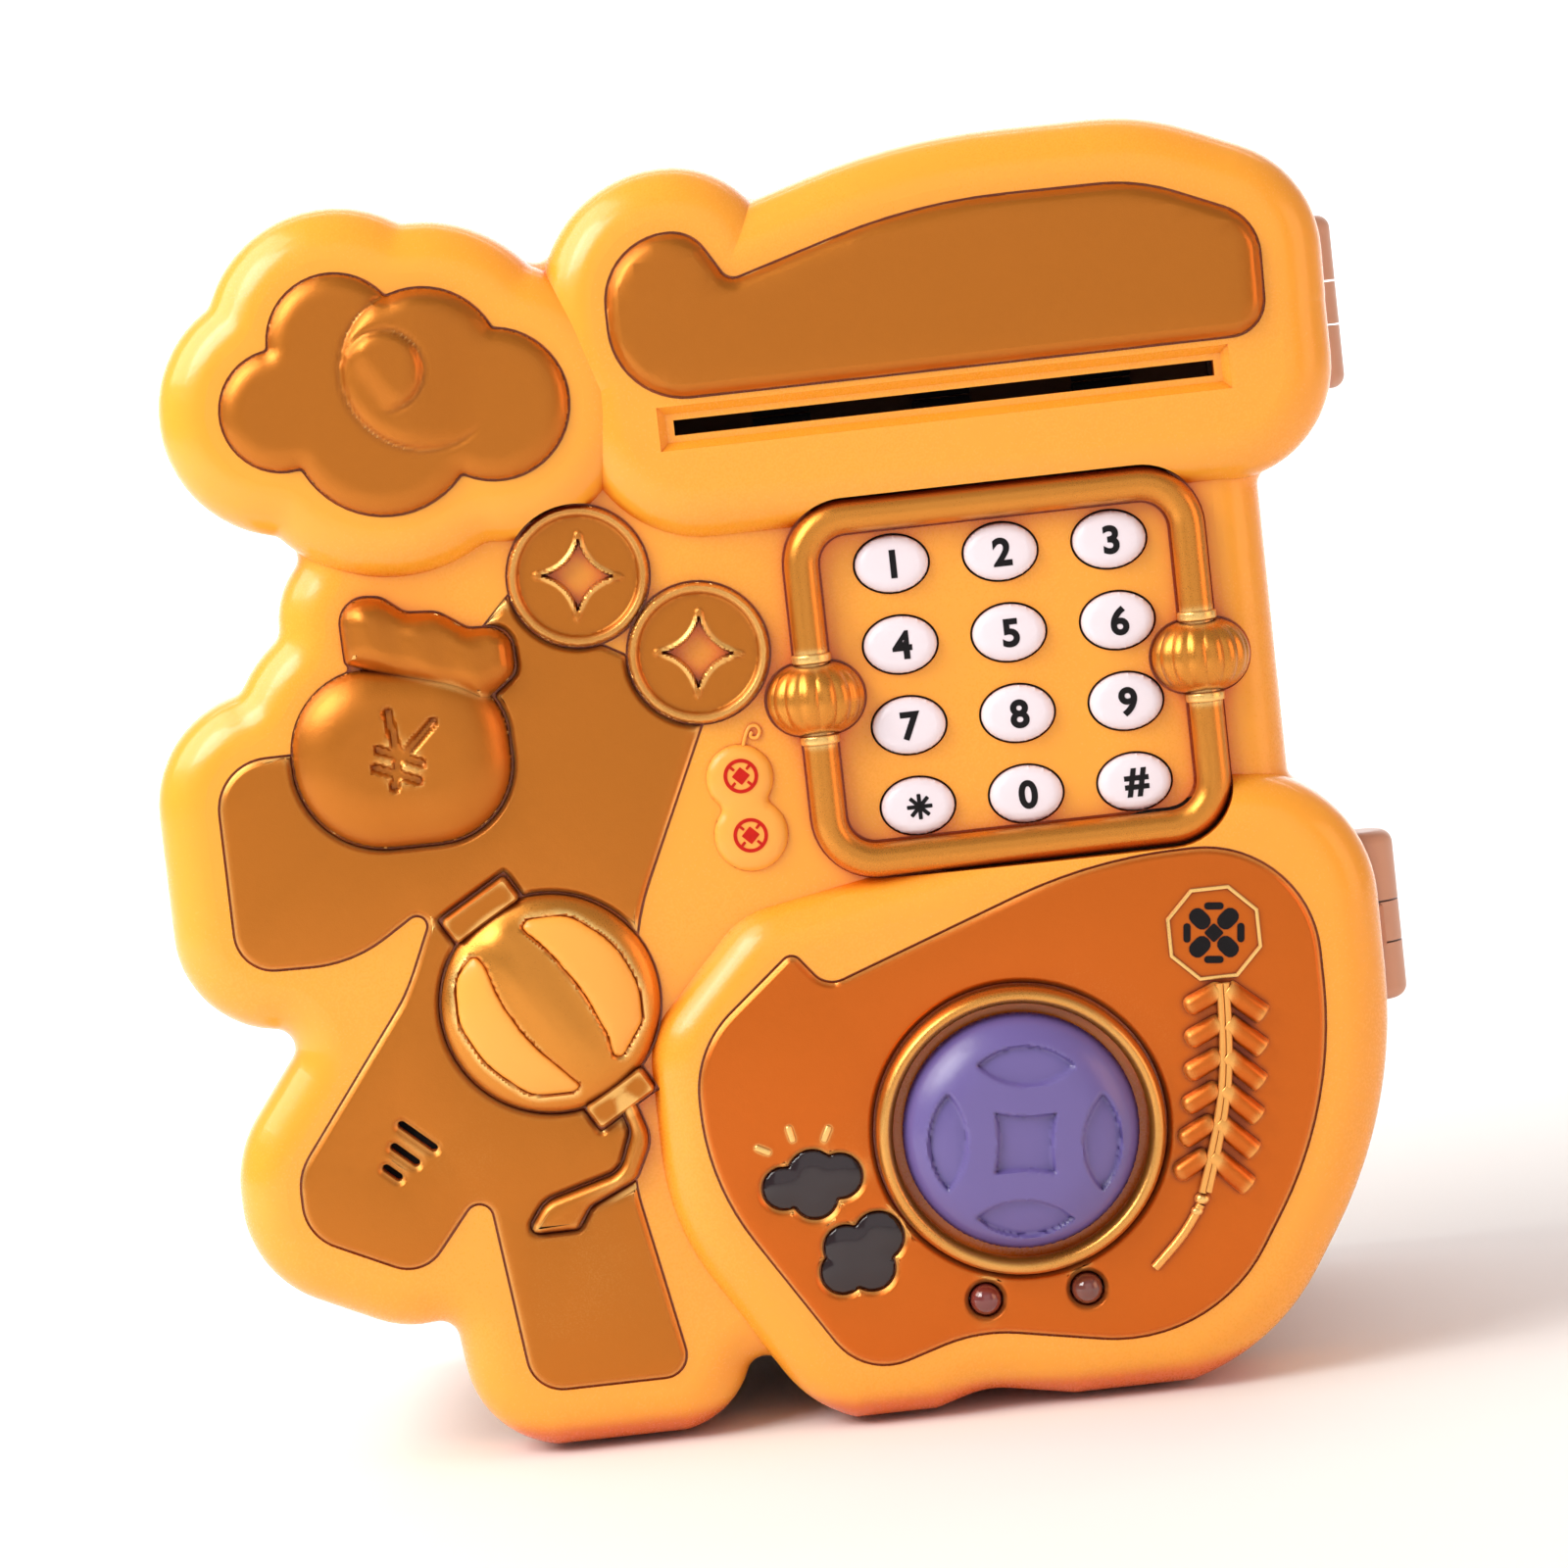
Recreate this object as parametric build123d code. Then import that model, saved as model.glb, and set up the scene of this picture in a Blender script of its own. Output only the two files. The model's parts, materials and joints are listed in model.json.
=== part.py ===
from build123d import *
import os
from math import acos, atan2, cos, degrees, pi, radians, sin, sqrt, tan

# Toy safe coin bank: a deep money box with a hinged front door. The door carries a keypad,
# a bill slot with a motor feeder, a turning knob that throws a latch bolt, and gold relief plates.
# Millimetres. +X is the hinge side, +Z is up and the front faces -Y.
# "out" is the distance of a level in front of the plane where the door meets the box.

# ---- overall sizes
FACE_W = 196.0          # width of the face, without the hinge barrels
FACE_H = 199.0          # height of the face
BODY_DEPTH = 86.0       # money box, from the door to the back
DOOR_BASE = 21.0        # lower level of the door's front
LOBE_RISE = 5.0         # how much the three raised lobes stand above it

# ---- shells
DOOR_WALL = 2.4
BODY_WALL = 2.5
PANEL_T = 3.0           # door's back panel
BORDER = 10.4           # yellow border around the gold plates
EDGE_R = 8.0            # rounding of the door's front edges
BODY_BACK_R = 6.0       # rounding of the box's back edge
BODY_INSET = 1.0        # the box is this much smaller than the door, all round
DOOR_GAP = 0.6          # gap between the closed door and the box
NOTCH_R = 3.0           # rounding where two lobes meet
FOOT_H = 2.0            # rubber foot, below the box
FOOT_R = 4.5
DOOR_LIFT = 1.0         # the door's lowest edge above the table

# ---- inlaid plates
SINK = 1.0              # depth of the pockets that hold the plates
PLATE_GAP = 0.35        # gap around each plate
PLATE_PROUD = 0.8
PILLOW_PROUD = 2.6      # the two plaques at the top
BAG_PROUD = 5.0
LANTERN_PROUD = 4.5
COIN_PROUD = 2.0
RIBBON_PROUD = 2.2
COIN_R = 11.0
COIN_HOLE = 6.4         # half diagonal of the hole in a coin
COIN_BOW = 1.0          # how far the hole's sides bow inwards

# ---- hinge
KNUCKLE_R = 5.0
HINGE_BACK = 6.0        # barrel axis behind the door's back face
PIN_R = 1.5
PIN_CLEAR = 0.06
KNUCKLE_GAP = 0.3
UPPER_HINGE = (151.5, 161.5, 168.8, 179.3)   # ends and seams of the three knuckles
LOWER_HINGE = (52.5, 61.8, 68.8, 80.0)

# ---- keypad
KEY_W = 11.4
KEY_H = 8.8
KEY_PITCH_X = 17.04
KEY_PITCH_Z = 12.7
KEY_CLEAR = 0.35
KEY_PROUD = 2.0
KEY_TRAVEL = 1.2
KEY_FLANGE = 1.2        # flange around each key, behind the wall
TUBE_W = 5.3            # gold frame around the keys
FRAME_W = 65.7
FRAME_H = 59.2
FRAME_R = 10.0
BEAD_W = 15.4
BEAD_H = 11.2
BOARD_T = 1.6

# ---- knob and latch
KNOB_R = 18.5
KNOB_H = 8.0
BEZEL_IN = 20.0
BEZEL_OUT = 22.7
BEZEL_PROUD = 4.0
SPINDLE_R = 4.0
SHAFT_CLEAR = 0.06
CRANK_R = 8.0           # crank pin's distance from the knob's axis
CRANK_PIN_R = 2.0
KNOB_TURN = 45.0        # degrees
BOLT_H = 8.0
BOLT_T = 3.0
BOLT_CLEAR = 0.3
BOLT_REACH = 2.0        # withdrawn tip stops this far short of the strike

# ---- bill feeder
SLOT_W = 84.0
SLOT_H = 2.4
RECESS_EXTRA = 2.4      # chamfered recess around the slot
TYRE_R = 5.0
TYRE_W = 9.0
TYRE_GAP = 0.3
ROLLER_R = 1.5
GEAR_MODULE = 0.9
DRIVE_TEETH = 18
IDLER_TEETH = 18
PINION_TEETH = 12
GEAR_W = 2.8
MOTOR_R = 7.7
MOTOR_L = 20.0

# ---- power and sound
CELL_R = 7.1
CELL_L = 50.3
SPEAKER_R = 14.0
LED_R = 2.45

# ---- fasteners: one size of self-tapping screw
SCREW_R = 1.3
SCREW_L = 7.6
HEAD_R = 2.6
HEAD_H = 1.4
BOSS_R = 3.5

# ---- the face is drawn at this size, and stretched to FACE_W by FACE_H
DRAWN_W = 196.0
DRAWN_H = 199.0
SX = FACE_W / DRAWN_W
SZ = FACE_H / DRAWN_H
SR = min(SX, SZ)

LOBE_OUT = DOOR_BASE + LOBE_RISE
LEFT_PLATE_EDGE = -86.3 * SX
HINGE_X = 83.1 * SX + BORDER
DOOR_BOTTOM = -1.2
FLOOR = DOOR_BOTTOM - DOOR_LIFT
BODY_BOTTOM = FLOOR + FOOT_H
X_MID = (LEFT_PLATE_EDGE - BORDER + HINGE_X + KNUCKLE_R) / 2
Y_MID = (BODY_DEPTH - LOBE_OUT - KNOB_H) / 2

KNOB_X = 32.5 * SX
KNOB_Z = 42.8 * SZ
KEYPAD_X = 38.35 * SX
KEYPAD_Z = 113.9 * SZ
SLOT_X = 33.0 * SX
SLOT_Z = 157.4 * SZ
KEYS = ("1", "2", "3", "4", "5", "6", "7", "8", "9", "star", "0", "hash")


# ---------------------------------------------------------------- helpers
def outline(*corners):
    """A face on the front plane from corners (x, z, radius), drawn at the drawn size."""
    points = [(x * SX, z * SZ) for x, z, r in corners]
    edges = []
    ends = []
    for i, (x, z, r) in enumerate(corners):
        here = Vector(*points[i])
        back = (Vector(*points[i - 1]) - here).normalized()
        ahead = (Vector(*points[(i + 1) % len(points)]) - here).normalized()
        if r == 0:
            ends.append((here, here))
            continue
        half = acos(max(-1, min(1, back.dot(ahead)))) / 2
        r = r * SR
        start = here + back * (r / tan(half))
        stop = here + ahead * (r / tan(half))
        middle = here + (back + ahead).normalized() * (r / sin(half) - r)
        edges.append(ThreePointArc(start, middle, stop))
        ends.append((start, stop))
    for i in range(len(ends)):
        edges.append(Line(ends[i - 1][1], ends[i][0]))
    return make_face(edges)


def disc(x, z, r):
    """A round face on the front plane, placed at the drawn size, with its own radius."""
    return Pos(x * SX, z * SZ) * Circle(r)


def turned_box(x, z, width, height, angle):
    return Pos(x * SX, z * SZ) * Rot(0, 0, angle) * Rectangle(width, height)


def slab(face, back, front):
    """The solid over a face between two out levels."""
    return extrude(Plane.XZ.offset(back) * face, amount=front - back)


def block(x0, x1, z0, z1, back, front):
    """A box between two X, two Z and two out values."""
    return Pos((x0 + x1) / 2, -(back + front) / 2, (z0 + z1) / 2) * Box(x1 - x0, front - back, z1 - z0)


def rod(x, z, r, back, front):
    """A cylinder along the out direction."""
    return Pos(x, -(back + front) / 2, z) * Rot(90, 0, 0) * Cylinder(r, front - back)


def cross_rod(x0, x1, out, z, r):
    """A cylinder along X."""
    return Pos((x0 + x1) / 2, -out, z) * Rot(0, 90, 0) * Cylinder(r, x1 - x0)


def post(x, y, z0, z1, r):
    """A cylinder along Z."""
    return Pos(x, y, (z0 + z1) / 2) * Cylinder(r, z1 - z0)


def screw(x, z, head_at):
    """A screw whose head rests on the out level head_at, pointing to the front."""
    return rod(x, z, SCREW_R, head_at, head_at + SCREW_L) + rod(x, z, HEAD_R, head_at - HEAD_H, head_at)


def grown(face, by):
    return offset(face, by, kind=Kind.ARC)


def soften(face, r):
    """The same face with its inward corners rounded."""
    return grown(grown(face, r), -r)


def round_front(solid, r):
    return fillet(solid.edges().group_by(Axis.Y)[0], r)


def above(face, z):
    """The part of a face above a level."""
    return face & (Pos(0, z + FACE_H) * Rectangle(3 * FACE_W, 2 * FACE_H))


def ellipse_slab(x, z, width, height, back, front):
    return slab(Pos(x, z) * Ellipse(width / 2, height / 2), back, front)


# ---------------------------------------------------------------- face outlines
cloud_face = soften(
    disc(-69, 166.8, 9.3 * SR) + disc(-59.5, 176.5, 10.3 * SR) + disc(-46.5, 170.9, 12.3 * SR)
    + disc(-36.3, 164.2, 11.6 * SR) + disc(-53.5, 163.4, 14.4 * SR), 1.0)

slot_plaque_face = outline(
    (-17.2, 187.2, 10.4), (-3.2, 187.2, 6), (1.8, 178.8, 2.5), (31.9, 187.5, 95),
    (66, 187.3, 30), (83.8, 179.6, 8), (83.5, 162, 5.5), (-17.3, 162, 11.5))

left_plate_face = outline(
    (-86.3, 113.2, 8), (-58.7, 113.2, 3), (-36.2, 135.7, 1.5), (-27.5, 127, 2), (-18, 121.5, 2),
    (-15, 114.5, 1.5), (-9.3, 112.6, 1.2), (-23.6, 82, 40), (-28.8, 41, 30), (-22.9, 9, 3.6),
    (-47.9, 9, 5.5), (-51.7, 43.3, 2.4), (-63.3, 29.4, 6), (-80.7, 37.7, 7.5), (-80.7, 47.6, 9),
    (-60.5, 74.1, 30), (-53.8, 89.1, 1.8), (-68.5, 79.9, 22), (-86.3, 80.3, 6))

apple_plate_face = outline(
    (-16.7, 60.8, 17), (0, 74.4, 1.6), (4.8, 68.2, 4), (48.3, 83.5, 80), (81.7, 83.5, 18),
    (82, 41.5, 66), (58.95, 5.3, 26), (22.6, 12, 25), (4.1, 6.4, 9.5), (-16.7, 39.7, 40))

apple_lobe_face = outline(
    (-24.4, 63.4, 14), (-7.6, 81.1, 14), (92.6, 98.8, 22), (92.6, 38.6, 76), (64, -6.2, 36.4),
    (23.2, 1.3, 14.6), (-0.5, -5.8, 19.9), (-24.4, 32.9, 40))

slot_lobe_face = grown(slot_plaque_face, BORDER) + outline(
    (-25.2, 172, 0), (93.9, 172, 0), (93.9, 139.4, 18), (-24, 139.4, 20))

bag_face = outline((-74, 127, 13), (-40.2, 123, 11.5), (-40, 97, 12.5), (-74, 97.4, 14))

tuft_face = outline(
    (-64.2, 137, 4), (-57.5, 136.2, 3), (-54, 133.4, 3), (-49, 133, 4), (-44.5, 129.9, 3),
    (-38, 129.6, 3.6), (-37.9, 122.4, 2.5), (-43.5, 118.2, 1), (-64, 126.5, 1))

money_bag_face = soften(bag_face + tuft_face, 1.0)

COINS = ((-26.5, 136.2), (-9.2, 122.2))
coin_faces = [disc(x, z, COIN_R) for x, z in COINS]

LANTERN_AT = (-38.4, 70.1)
LANTERN_TILT = 30.0
LANTERN_R = 17.2
cap_dx = -sin(radians(LANTERN_TILT)) * 18.4
cap_dz = cos(radians(LANTERN_TILT)) * 18.4
lantern_faces = [disc(*LANTERN_AT, LANTERN_R * SR)]
for side, width in ((1, 12.4), (-1, 11.0)):
    lantern_faces.append(turned_box(
        LANTERN_AT[0] + side * cap_dx, LANTERN_AT[1] + side * cap_dz, width * SR, 4.6 * SR, LANTERN_TILT))

ribbon_face = outline(
    (-30.2, 55, 0), (-27.6, 55, 0), (-25.2, 47, 5), (-28.2, 41, 2.5), (-36, 37.5, 3),
    (-38.2, 34.2, 1), (-46.2, 34.2, 1), (-42.8, 38.9, 4), (-30.5, 42.3, 4), (-28, 48.5, 3))

gourd_face = soften(disc(-5, 102, 5.3) + disc(-4.2, 93, 5.8), 1.2)

frame_face = Pos(KEYPAD_X, KEYPAD_Z) * (
    RectangleRounded(FRAME_W, FRAME_H, FRAME_R)
    - RectangleRounded(FRAME_W - 2 * TUBE_W, FRAME_H - 2 * TUBE_W, FRAME_R - TUBE_W))

left_lobe_face = grown(left_plate_face + money_bag_face, BORDER)
cloud_lobe_face = soften(grown(cloud_face, BORDER), NOTCH_R)
middle_face = outline((-50, 60, 0), (81, 60, 0), (81, 160, 0), (-50, 160, 0))
whole_face = left_lobe_face + cloud_lobe_face + slot_lobe_face + apple_lobe_face + middle_face
door_face = above(soften(whole_face, NOTCH_R), DOOR_BOTTOM)
body_face = above(grown(soften(whole_face, NOTCH_R), -BODY_INSET), BODY_BOTTOM)


# ---------------------------------------------------------------- solids
nodes = {}
lower_inner = DOOR_BASE - DOOR_WALL
upper_inner = LOBE_OUT - DOOR_WALL

# door front: a base level and three raised lobes, hollow, with pockets for the plates
upper_faces = (cloud_lobe_face, slot_lobe_face, apple_lobe_face)
front = round_front(slab(door_face, PANEL_T, DOOR_BASE), EDGE_R)
hollow = round_front(slab(grown(door_face, -DOOR_WALL), PANEL_T - 1, lower_inner), EDGE_R - DOOR_WALL)
for lobe in upper_faces:
    lobe = above(lobe, DOOR_BOTTOM)
    front += round_front(slab(lobe, PANEL_T, LOBE_OUT), EDGE_R)
    hollow += round_front(
        slab(grown(lobe, -DOOR_WALL), PANEL_T - 1, upper_inner), EDGE_R - DOOR_WALL)
envelope = front
front = front - hollow

# screw bosses that hold the back panel, inside the door
BOSSES = [(x * SX, z * SZ) for x, z in (
    (-76, 168), (-40, 184), (20, 183), (87, 173), (84, 66), (62, 20), (-2, 20), (-34, 18),
    (-84.5, 44), (-90, 92), (-62, 136))]
bosses = Part() + [rod(x, z, BOSS_R, PANEL_T, LOBE_OUT) for x, z in BOSSES]
front += bosses & envelope

# bosses for the keypad board, between the keys
BOARD_FRONT = 13.0
board_posts = [(KEYPAD_X + 0.9 + side * KEY_PITCH_X / 2, KEYPAD_Z - 0.3 + rise * KEY_PITCH_Z)
               for side in (-1, 1) for rise in (-1, 1)]
front += [rod(x, z, 2.6, BOARD_FRONT, DOOR_BASE - 1) for x, z in board_posts]

# thicker wall around the bill slot
slot_half = SLOT_W / 2
front += block(SLOT_X - slot_half - 4, SLOT_X + slot_half + 4, SLOT_Z - 6, SLOT_Z + 6,
               upper_inner - 1.6, upper_inner + 0.5)

# pockets for the inlaid plates; each is open all the way to the front
on_the_plate = [grown(face, PLATE_GAP) for face in [money_bag_face, ribbon_face] + lantern_faces + coin_faces]
for face in [grown(left_plate_face, PLATE_GAP)] + on_the_plate:
    front -= slab(face, DOOR_BASE - SINK, LOBE_OUT + 1)
for plate in (cloud_face, slot_plaque_face, apple_plate_face):
    front -= slab(grown(plate, PLATE_GAP), LOBE_OUT - SINK, LOBE_OUT + 1)
beads_at = [KEYPAD_X - FRAME_W / 2 + TUBE_W / 2, KEYPAD_X + FRAME_W / 2 - TUBE_W / 2]
BEAD_Z = KEYPAD_Z - 0.8
bead_faces = [Pos(x, BEAD_Z) * SlotOverall(BEAD_W, BEAD_H) for x in beads_at]
frame_outer = Pos(KEYPAD_X, KEYPAD_Z) * RectangleRounded(FRAME_W, FRAME_H, FRAME_R)
front -= slab(grown(frame_outer, PLATE_GAP), DOOR_BASE, LOBE_OUT + 1)
frame_seat = grown(frame_outer, PLATE_GAP) - Pos(KEYPAD_X, KEYPAD_Z) * RectangleRounded(
    FRAME_W - 2 * TUBE_W - 2 * PLATE_GAP, FRAME_H - 2 * TUBE_W - 2 * PLATE_GAP, FRAME_R - TUBE_W - PLATE_GAP)
front -= slab(frame_seat, DOOR_BASE - SINK, LOBE_OUT + 1)
for face in bead_faces:
    front -= slab(grown(face, PLATE_GAP), DOOR_BASE - SINK, LOBE_OUT + 4)

# bill slot with a chamfered recess
recess = slab(Pos(SLOT_X, SLOT_Z) * Rectangle(SLOT_W + 2 * RECESS_EXTRA, SLOT_H + 2 * RECESS_EXTRA - 0.4),
              LOBE_OUT - 1.4, LOBE_OUT + 1)
front -= chamfer(recess.edges().group_by(Axis.Y)[-1], 1.2)
front -= slab(Pos(SLOT_X, SLOT_Z) * Rectangle(SLOT_W, SLOT_H), PANEL_T, LOBE_OUT + 1)

# holes: keys, knob spindle, lamps, speaker
key_places = [(KEYPAD_X + 0.9 + (i % 3 - 1) * KEY_PITCH_X, KEYPAD_Z - 0.3 + (1.5 - i // 3) * KEY_PITCH_Z)
              for i in range(12)]
for x, z in key_places:
    front -= ellipse_slab(x, z, KEY_W + 2 * KEY_CLEAR, KEY_H + 2 * KEY_CLEAR, PANEL_T, LOBE_OUT + 1)
front -= rod(KNOB_X, KNOB_Z, SPINDLE_R + SHAFT_CLEAR, PANEL_T, LOBE_OUT + 1)
LEDS = [(24.2 * SX, 16.6 * SZ), (40.2 * SX, 16.6 * SZ)]
for x, z in LEDS:
    front -= rod(x, z, LED_R + 0.25, PANEL_T, LOBE_OUT + 1)
SOUND_SLOTS = ((-61.6, 51.5, 7.4), (-63.9, 48.8, 5.4), (-66.2, 46.2, 3.6))
sound_cuts = [Pos(x * SX, z * SZ) * Rot(0, 0, -42) * SlotOverall(length, 1.3)
              for x, z, length in SOUND_SLOTS]
for cut in sound_cuts:
    front -= slab(cut, PANEL_T, LOBE_OUT + 1)
for x, z in BOSSES:
    front -= rod(x, z, SCREW_R, PANEL_T - 1, PANEL_T + 10)
for x, z in board_posts:
    front -= rod(x, z, SCREW_R, BOARD_FRONT - 1, BOARD_FRONT + 6)
nodes["door_front_shell"] = front

# door back panel, with the middle knuckle of each hinge
panel = slab(door_face, 0, PANEL_T)
body_shell = slab(body_face, -BODY_DEPTH, -DOOR_GAP)
body_shell = fillet(body_shell.edges().group_by(Axis.Y)[-1], BODY_BACK_R)
body_envelope = body_shell
inner_body = slab(grown(body_face, -BODY_WALL), BODY_WALL - BODY_DEPTH, 1)
body_shell -= fillet(inner_body.edges().group_by(Axis.Y)[-1], BODY_BACK_R - BODY_WALL)

hinges = [[z * SZ for z in levels] for levels in (UPPER_HINGE, LOWER_HINGE)]
pins = []
for z0, z1, z2, z3 in hinges:
    # door side
    web = block(HINGE_X - KNUCKLE_R, HINGE_X + 1.5, z1 + KNUCKLE_GAP, z2 - KNUCKLE_GAP, -HINGE_BACK, PANEL_T)
    middle = post(HINGE_X, HINGE_BACK, z1 + KNUCKLE_GAP, z2 - KNUCKLE_GAP, KNUCKLE_R)
    panel += web + middle
    panel -= post(HINGE_X, HINGE_BACK, z1, z2, PIN_R + PIN_CLEAR)
    # box side
    boss = post(HINGE_X, HINGE_BACK, z0 - 1.5, z3 + 1.5, KNUCKLE_R + 2.8)
    body_shell += boss & body_envelope
    for low, high, end in ((z0, z1, z0), (z2, z3, z3)):
        knuckle = post(HINGE_X, HINGE_BACK, low, high, KNUCKLE_R)
        ends = knuckle.edges().filter_by(GeomType.CIRCLE).filter_by_position(Axis.Z, end - 0.1, end + 0.1)
        body_shell += fillet(ends, 2.2)
    clear = 0.4
    body_shell -= post(HINGE_X, HINGE_BACK, z1, z2, KNUCKLE_R + clear)
    body_shell -= block(HINGE_X - KNUCKLE_R - clear, HINGE_X + 20, z1, z2, -HINGE_BACK, 1)
    pin_top = z3 - 3
    body_shell -= post(HINGE_X, HINGE_BACK, z0 - 1, pin_top, PIN_R)
    pins.append(post(HINGE_X, HINGE_BACK, z0, pin_top, PIN_R))
nodes["hinge_pins"] = pins

# coin slot in the top of the box
COIN_SLOT = (30.0, 3.6)
COIN_SLOT_X = 45.0 * SX
COIN_SLOT_Y = 40.0
body_shell -= Pos(COIN_SLOT_X, COIN_SLOT_Y, FACE_H) * Box(COIN_SLOT[0], COIN_SLOT[1], 20)

# strike: a channel on a pad inside the box's left wall
BOLT_OUT = -3.2
bolt_back = BOLT_OUT - BOLT_T
TIP_X = -70.0 * SX
STRIKE_T = 1.8
strike_x0 = TIP_X - BOLT_REACH - 8.0
strike_x1 = TIP_X - BOLT_REACH
strike_back = bolt_back - 0.6 - STRIKE_T
strike = block(strike_x0, strike_x1, KNOB_Z - 5, KNOB_Z + 5, strike_back, BOLT_OUT + 0.5 + STRIKE_T)
strike -= block(strike_x0 + STRIKE_T, strike_x1 + 1, KNOB_Z - 7, KNOB_Z + 7,
                strike_back + STRIKE_T, BOLT_OUT + 0.5)
nodes["strike_plate"] = strike
strike_boss = block(-FACE_W / 2, strike_x0, KNOB_Z - 6, KNOB_Z + 6,
                    strike_back - 3, BOLT_OUT + 0.5 + STRIKE_T)
body_shell += strike_boss & body_envelope
nodes["body_shell"] = body_shell

# rubber feet
FEET = ((-34.5 * SX, 12.0), (-34.5 * SX, BODY_DEPTH - 12), (46.5 * SX, 12.0), (46.5 * SX, BODY_DEPTH - 12))
nodes["foot_pads"] = [post(x, y, FLOOR, BODY_BOTTOM, FOOT_R) for x, y in FEET]

# screws of the back panel
for x, z in BOSSES:
    panel -= rod(x, z, SCREW_R + 0.2, -1, PANEL_T + 1)
    panel -= rod(x, z, HEAD_R + 0.2, -1, HEAD_H + 0.2)
screws = [screw(x, z, HEAD_H + 0.2) for x, z in BOSSES]

# ---- relief on the lower level
plate_back = DOOR_BASE - SINK
plate = left_plate_face
for face in on_the_plate:
    plate -= face
plate = max(plate.faces(), key=lambda f: f.area)
left_plate = slab(plate, plate_back, DOOR_BASE + PLATE_PROUD)
for cut in sound_cuts:
    left_plate -= slab(cut, 0, LOBE_OUT)
nodes["left_plate"] = left_plate
bag = round_front(slab(bag_face, plate_back, DOOR_BASE + BAG_PROUD), 3.5)
tuft = round_front(slab(tuft_face, plate_back, DOOR_BASE + BAG_PROUD - 1), 1.6)
nodes["money_bag"] = bag + tuft

coins = []
for (x, z), face in zip(COINS, coin_faces):
    coin = round_front(slab(face, plate_back, DOOR_BASE + COIN_PROUD), 1.0)
    coin -= rod(x * SX, z * SZ, COIN_R - 2.2, DOOR_BASE + COIN_PROUD - 0.7, LOBE_OUT)
    hole = Pos(x * SX, z * SZ) * Rot(0, 0, -7) * Rectangle(2 * COIN_HOLE, 2 * COIN_HOLE)
    half_chord = COIN_HOLE / sqrt(2)
    bow_r = (half_chord ** 2 + COIN_BOW ** 2) / (2 * COIN_BOW)
    for quarter in range(4):
        bow_at = Rot(0, 0, 38 + 90 * quarter) * Pos(half_chord - COIN_BOW + bow_r, 0)
        hole -= Pos(x * SX, z * SZ) * bow_at * Circle(bow_r)
    hole = max(hole.faces(), key=lambda f: f.area)
    coins.append(coin - slab(hole, 0, LOBE_OUT))
nodes["coin_medallions"] = coins

lantern = Part()
lantern += round_front(slab(lantern_faces[0], plate_back, DOOR_BASE + LANTERN_PROUD), 3.8)
for face in lantern_faces[1:]:
    lantern += slab(face, plate_back, DOOR_BASE + 2.6)
nodes["lantern"] = lantern + slab(ribbon_face, plate_back, DOOR_BASE + RIBBON_PROUD)
nodes["gourd_badge"] = round_front(slab(gourd_face, DOOR_BASE, DOOR_BASE + 1.6), 1.0)

# ---- plates on the raised level
lobe_back = LOBE_OUT - SINK
cloud = round_front(slab(cloud_face, lobe_back, LOBE_OUT + PILLOW_PROUD), 2.4)
swirl = round_front(slab(disc(-46.5, 170.9, 12.1 * SR), lobe_back + 1, LOBE_OUT + PILLOW_PROUD + 1.2), 2.0)
nodes["cloud_plaque"] = cloud + swirl
nodes["slot_plaque"] = round_front(slab(slot_plaque_face, lobe_back, LOBE_OUT + PILLOW_PROUD), 2.2)

window_faces = {
    "upper_window": soften(disc(-5.3, 37.6, 3.3) + disc(-0.6, 39.2, 3.9) + disc(3.6, 38.6, 3.5)
                           + disc(-0.6, 35.8, 3.5), 0.6),
    "lower_window": soften(disc(2.4, 23.4, 3.4) + disc(3.4, 27.2, 3.5) + disc(8.6, 28.4, 3.9)
                           + disc(7.0, 23.6, 3.6), 0.6)}
octagon_face = Pos(65.7 * SX, 70.2 * SZ) * Rot(0, 0, 22.5) * RegularPolygon(8.1, 8)
apple = slab(apple_plate_face, lobe_back, LOBE_OUT + PLATE_PROUD)
apple -= rod(KNOB_X, KNOB_Z, BEZEL_OUT + PLATE_GAP, 0, LOBE_OUT + 2)
for name, face in window_faces.items():
    apple -= slab(grown(face, 0.2), 0, LOBE_OUT + 2)
    nodes[name] = slab(face, lobe_back, LOBE_OUT + PLATE_PROUD)
for x, z in LEDS:
    apple -= rod(x, z, LED_R + 0.25, 0, LOBE_OUT + 2)
nodes["apple_plate"] = apple
plate_front = LOBE_OUT + PLATE_PROUD
nodes["octagon_badge"] = slab(octagon_face, plate_front, plate_front + 0.6)

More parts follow.
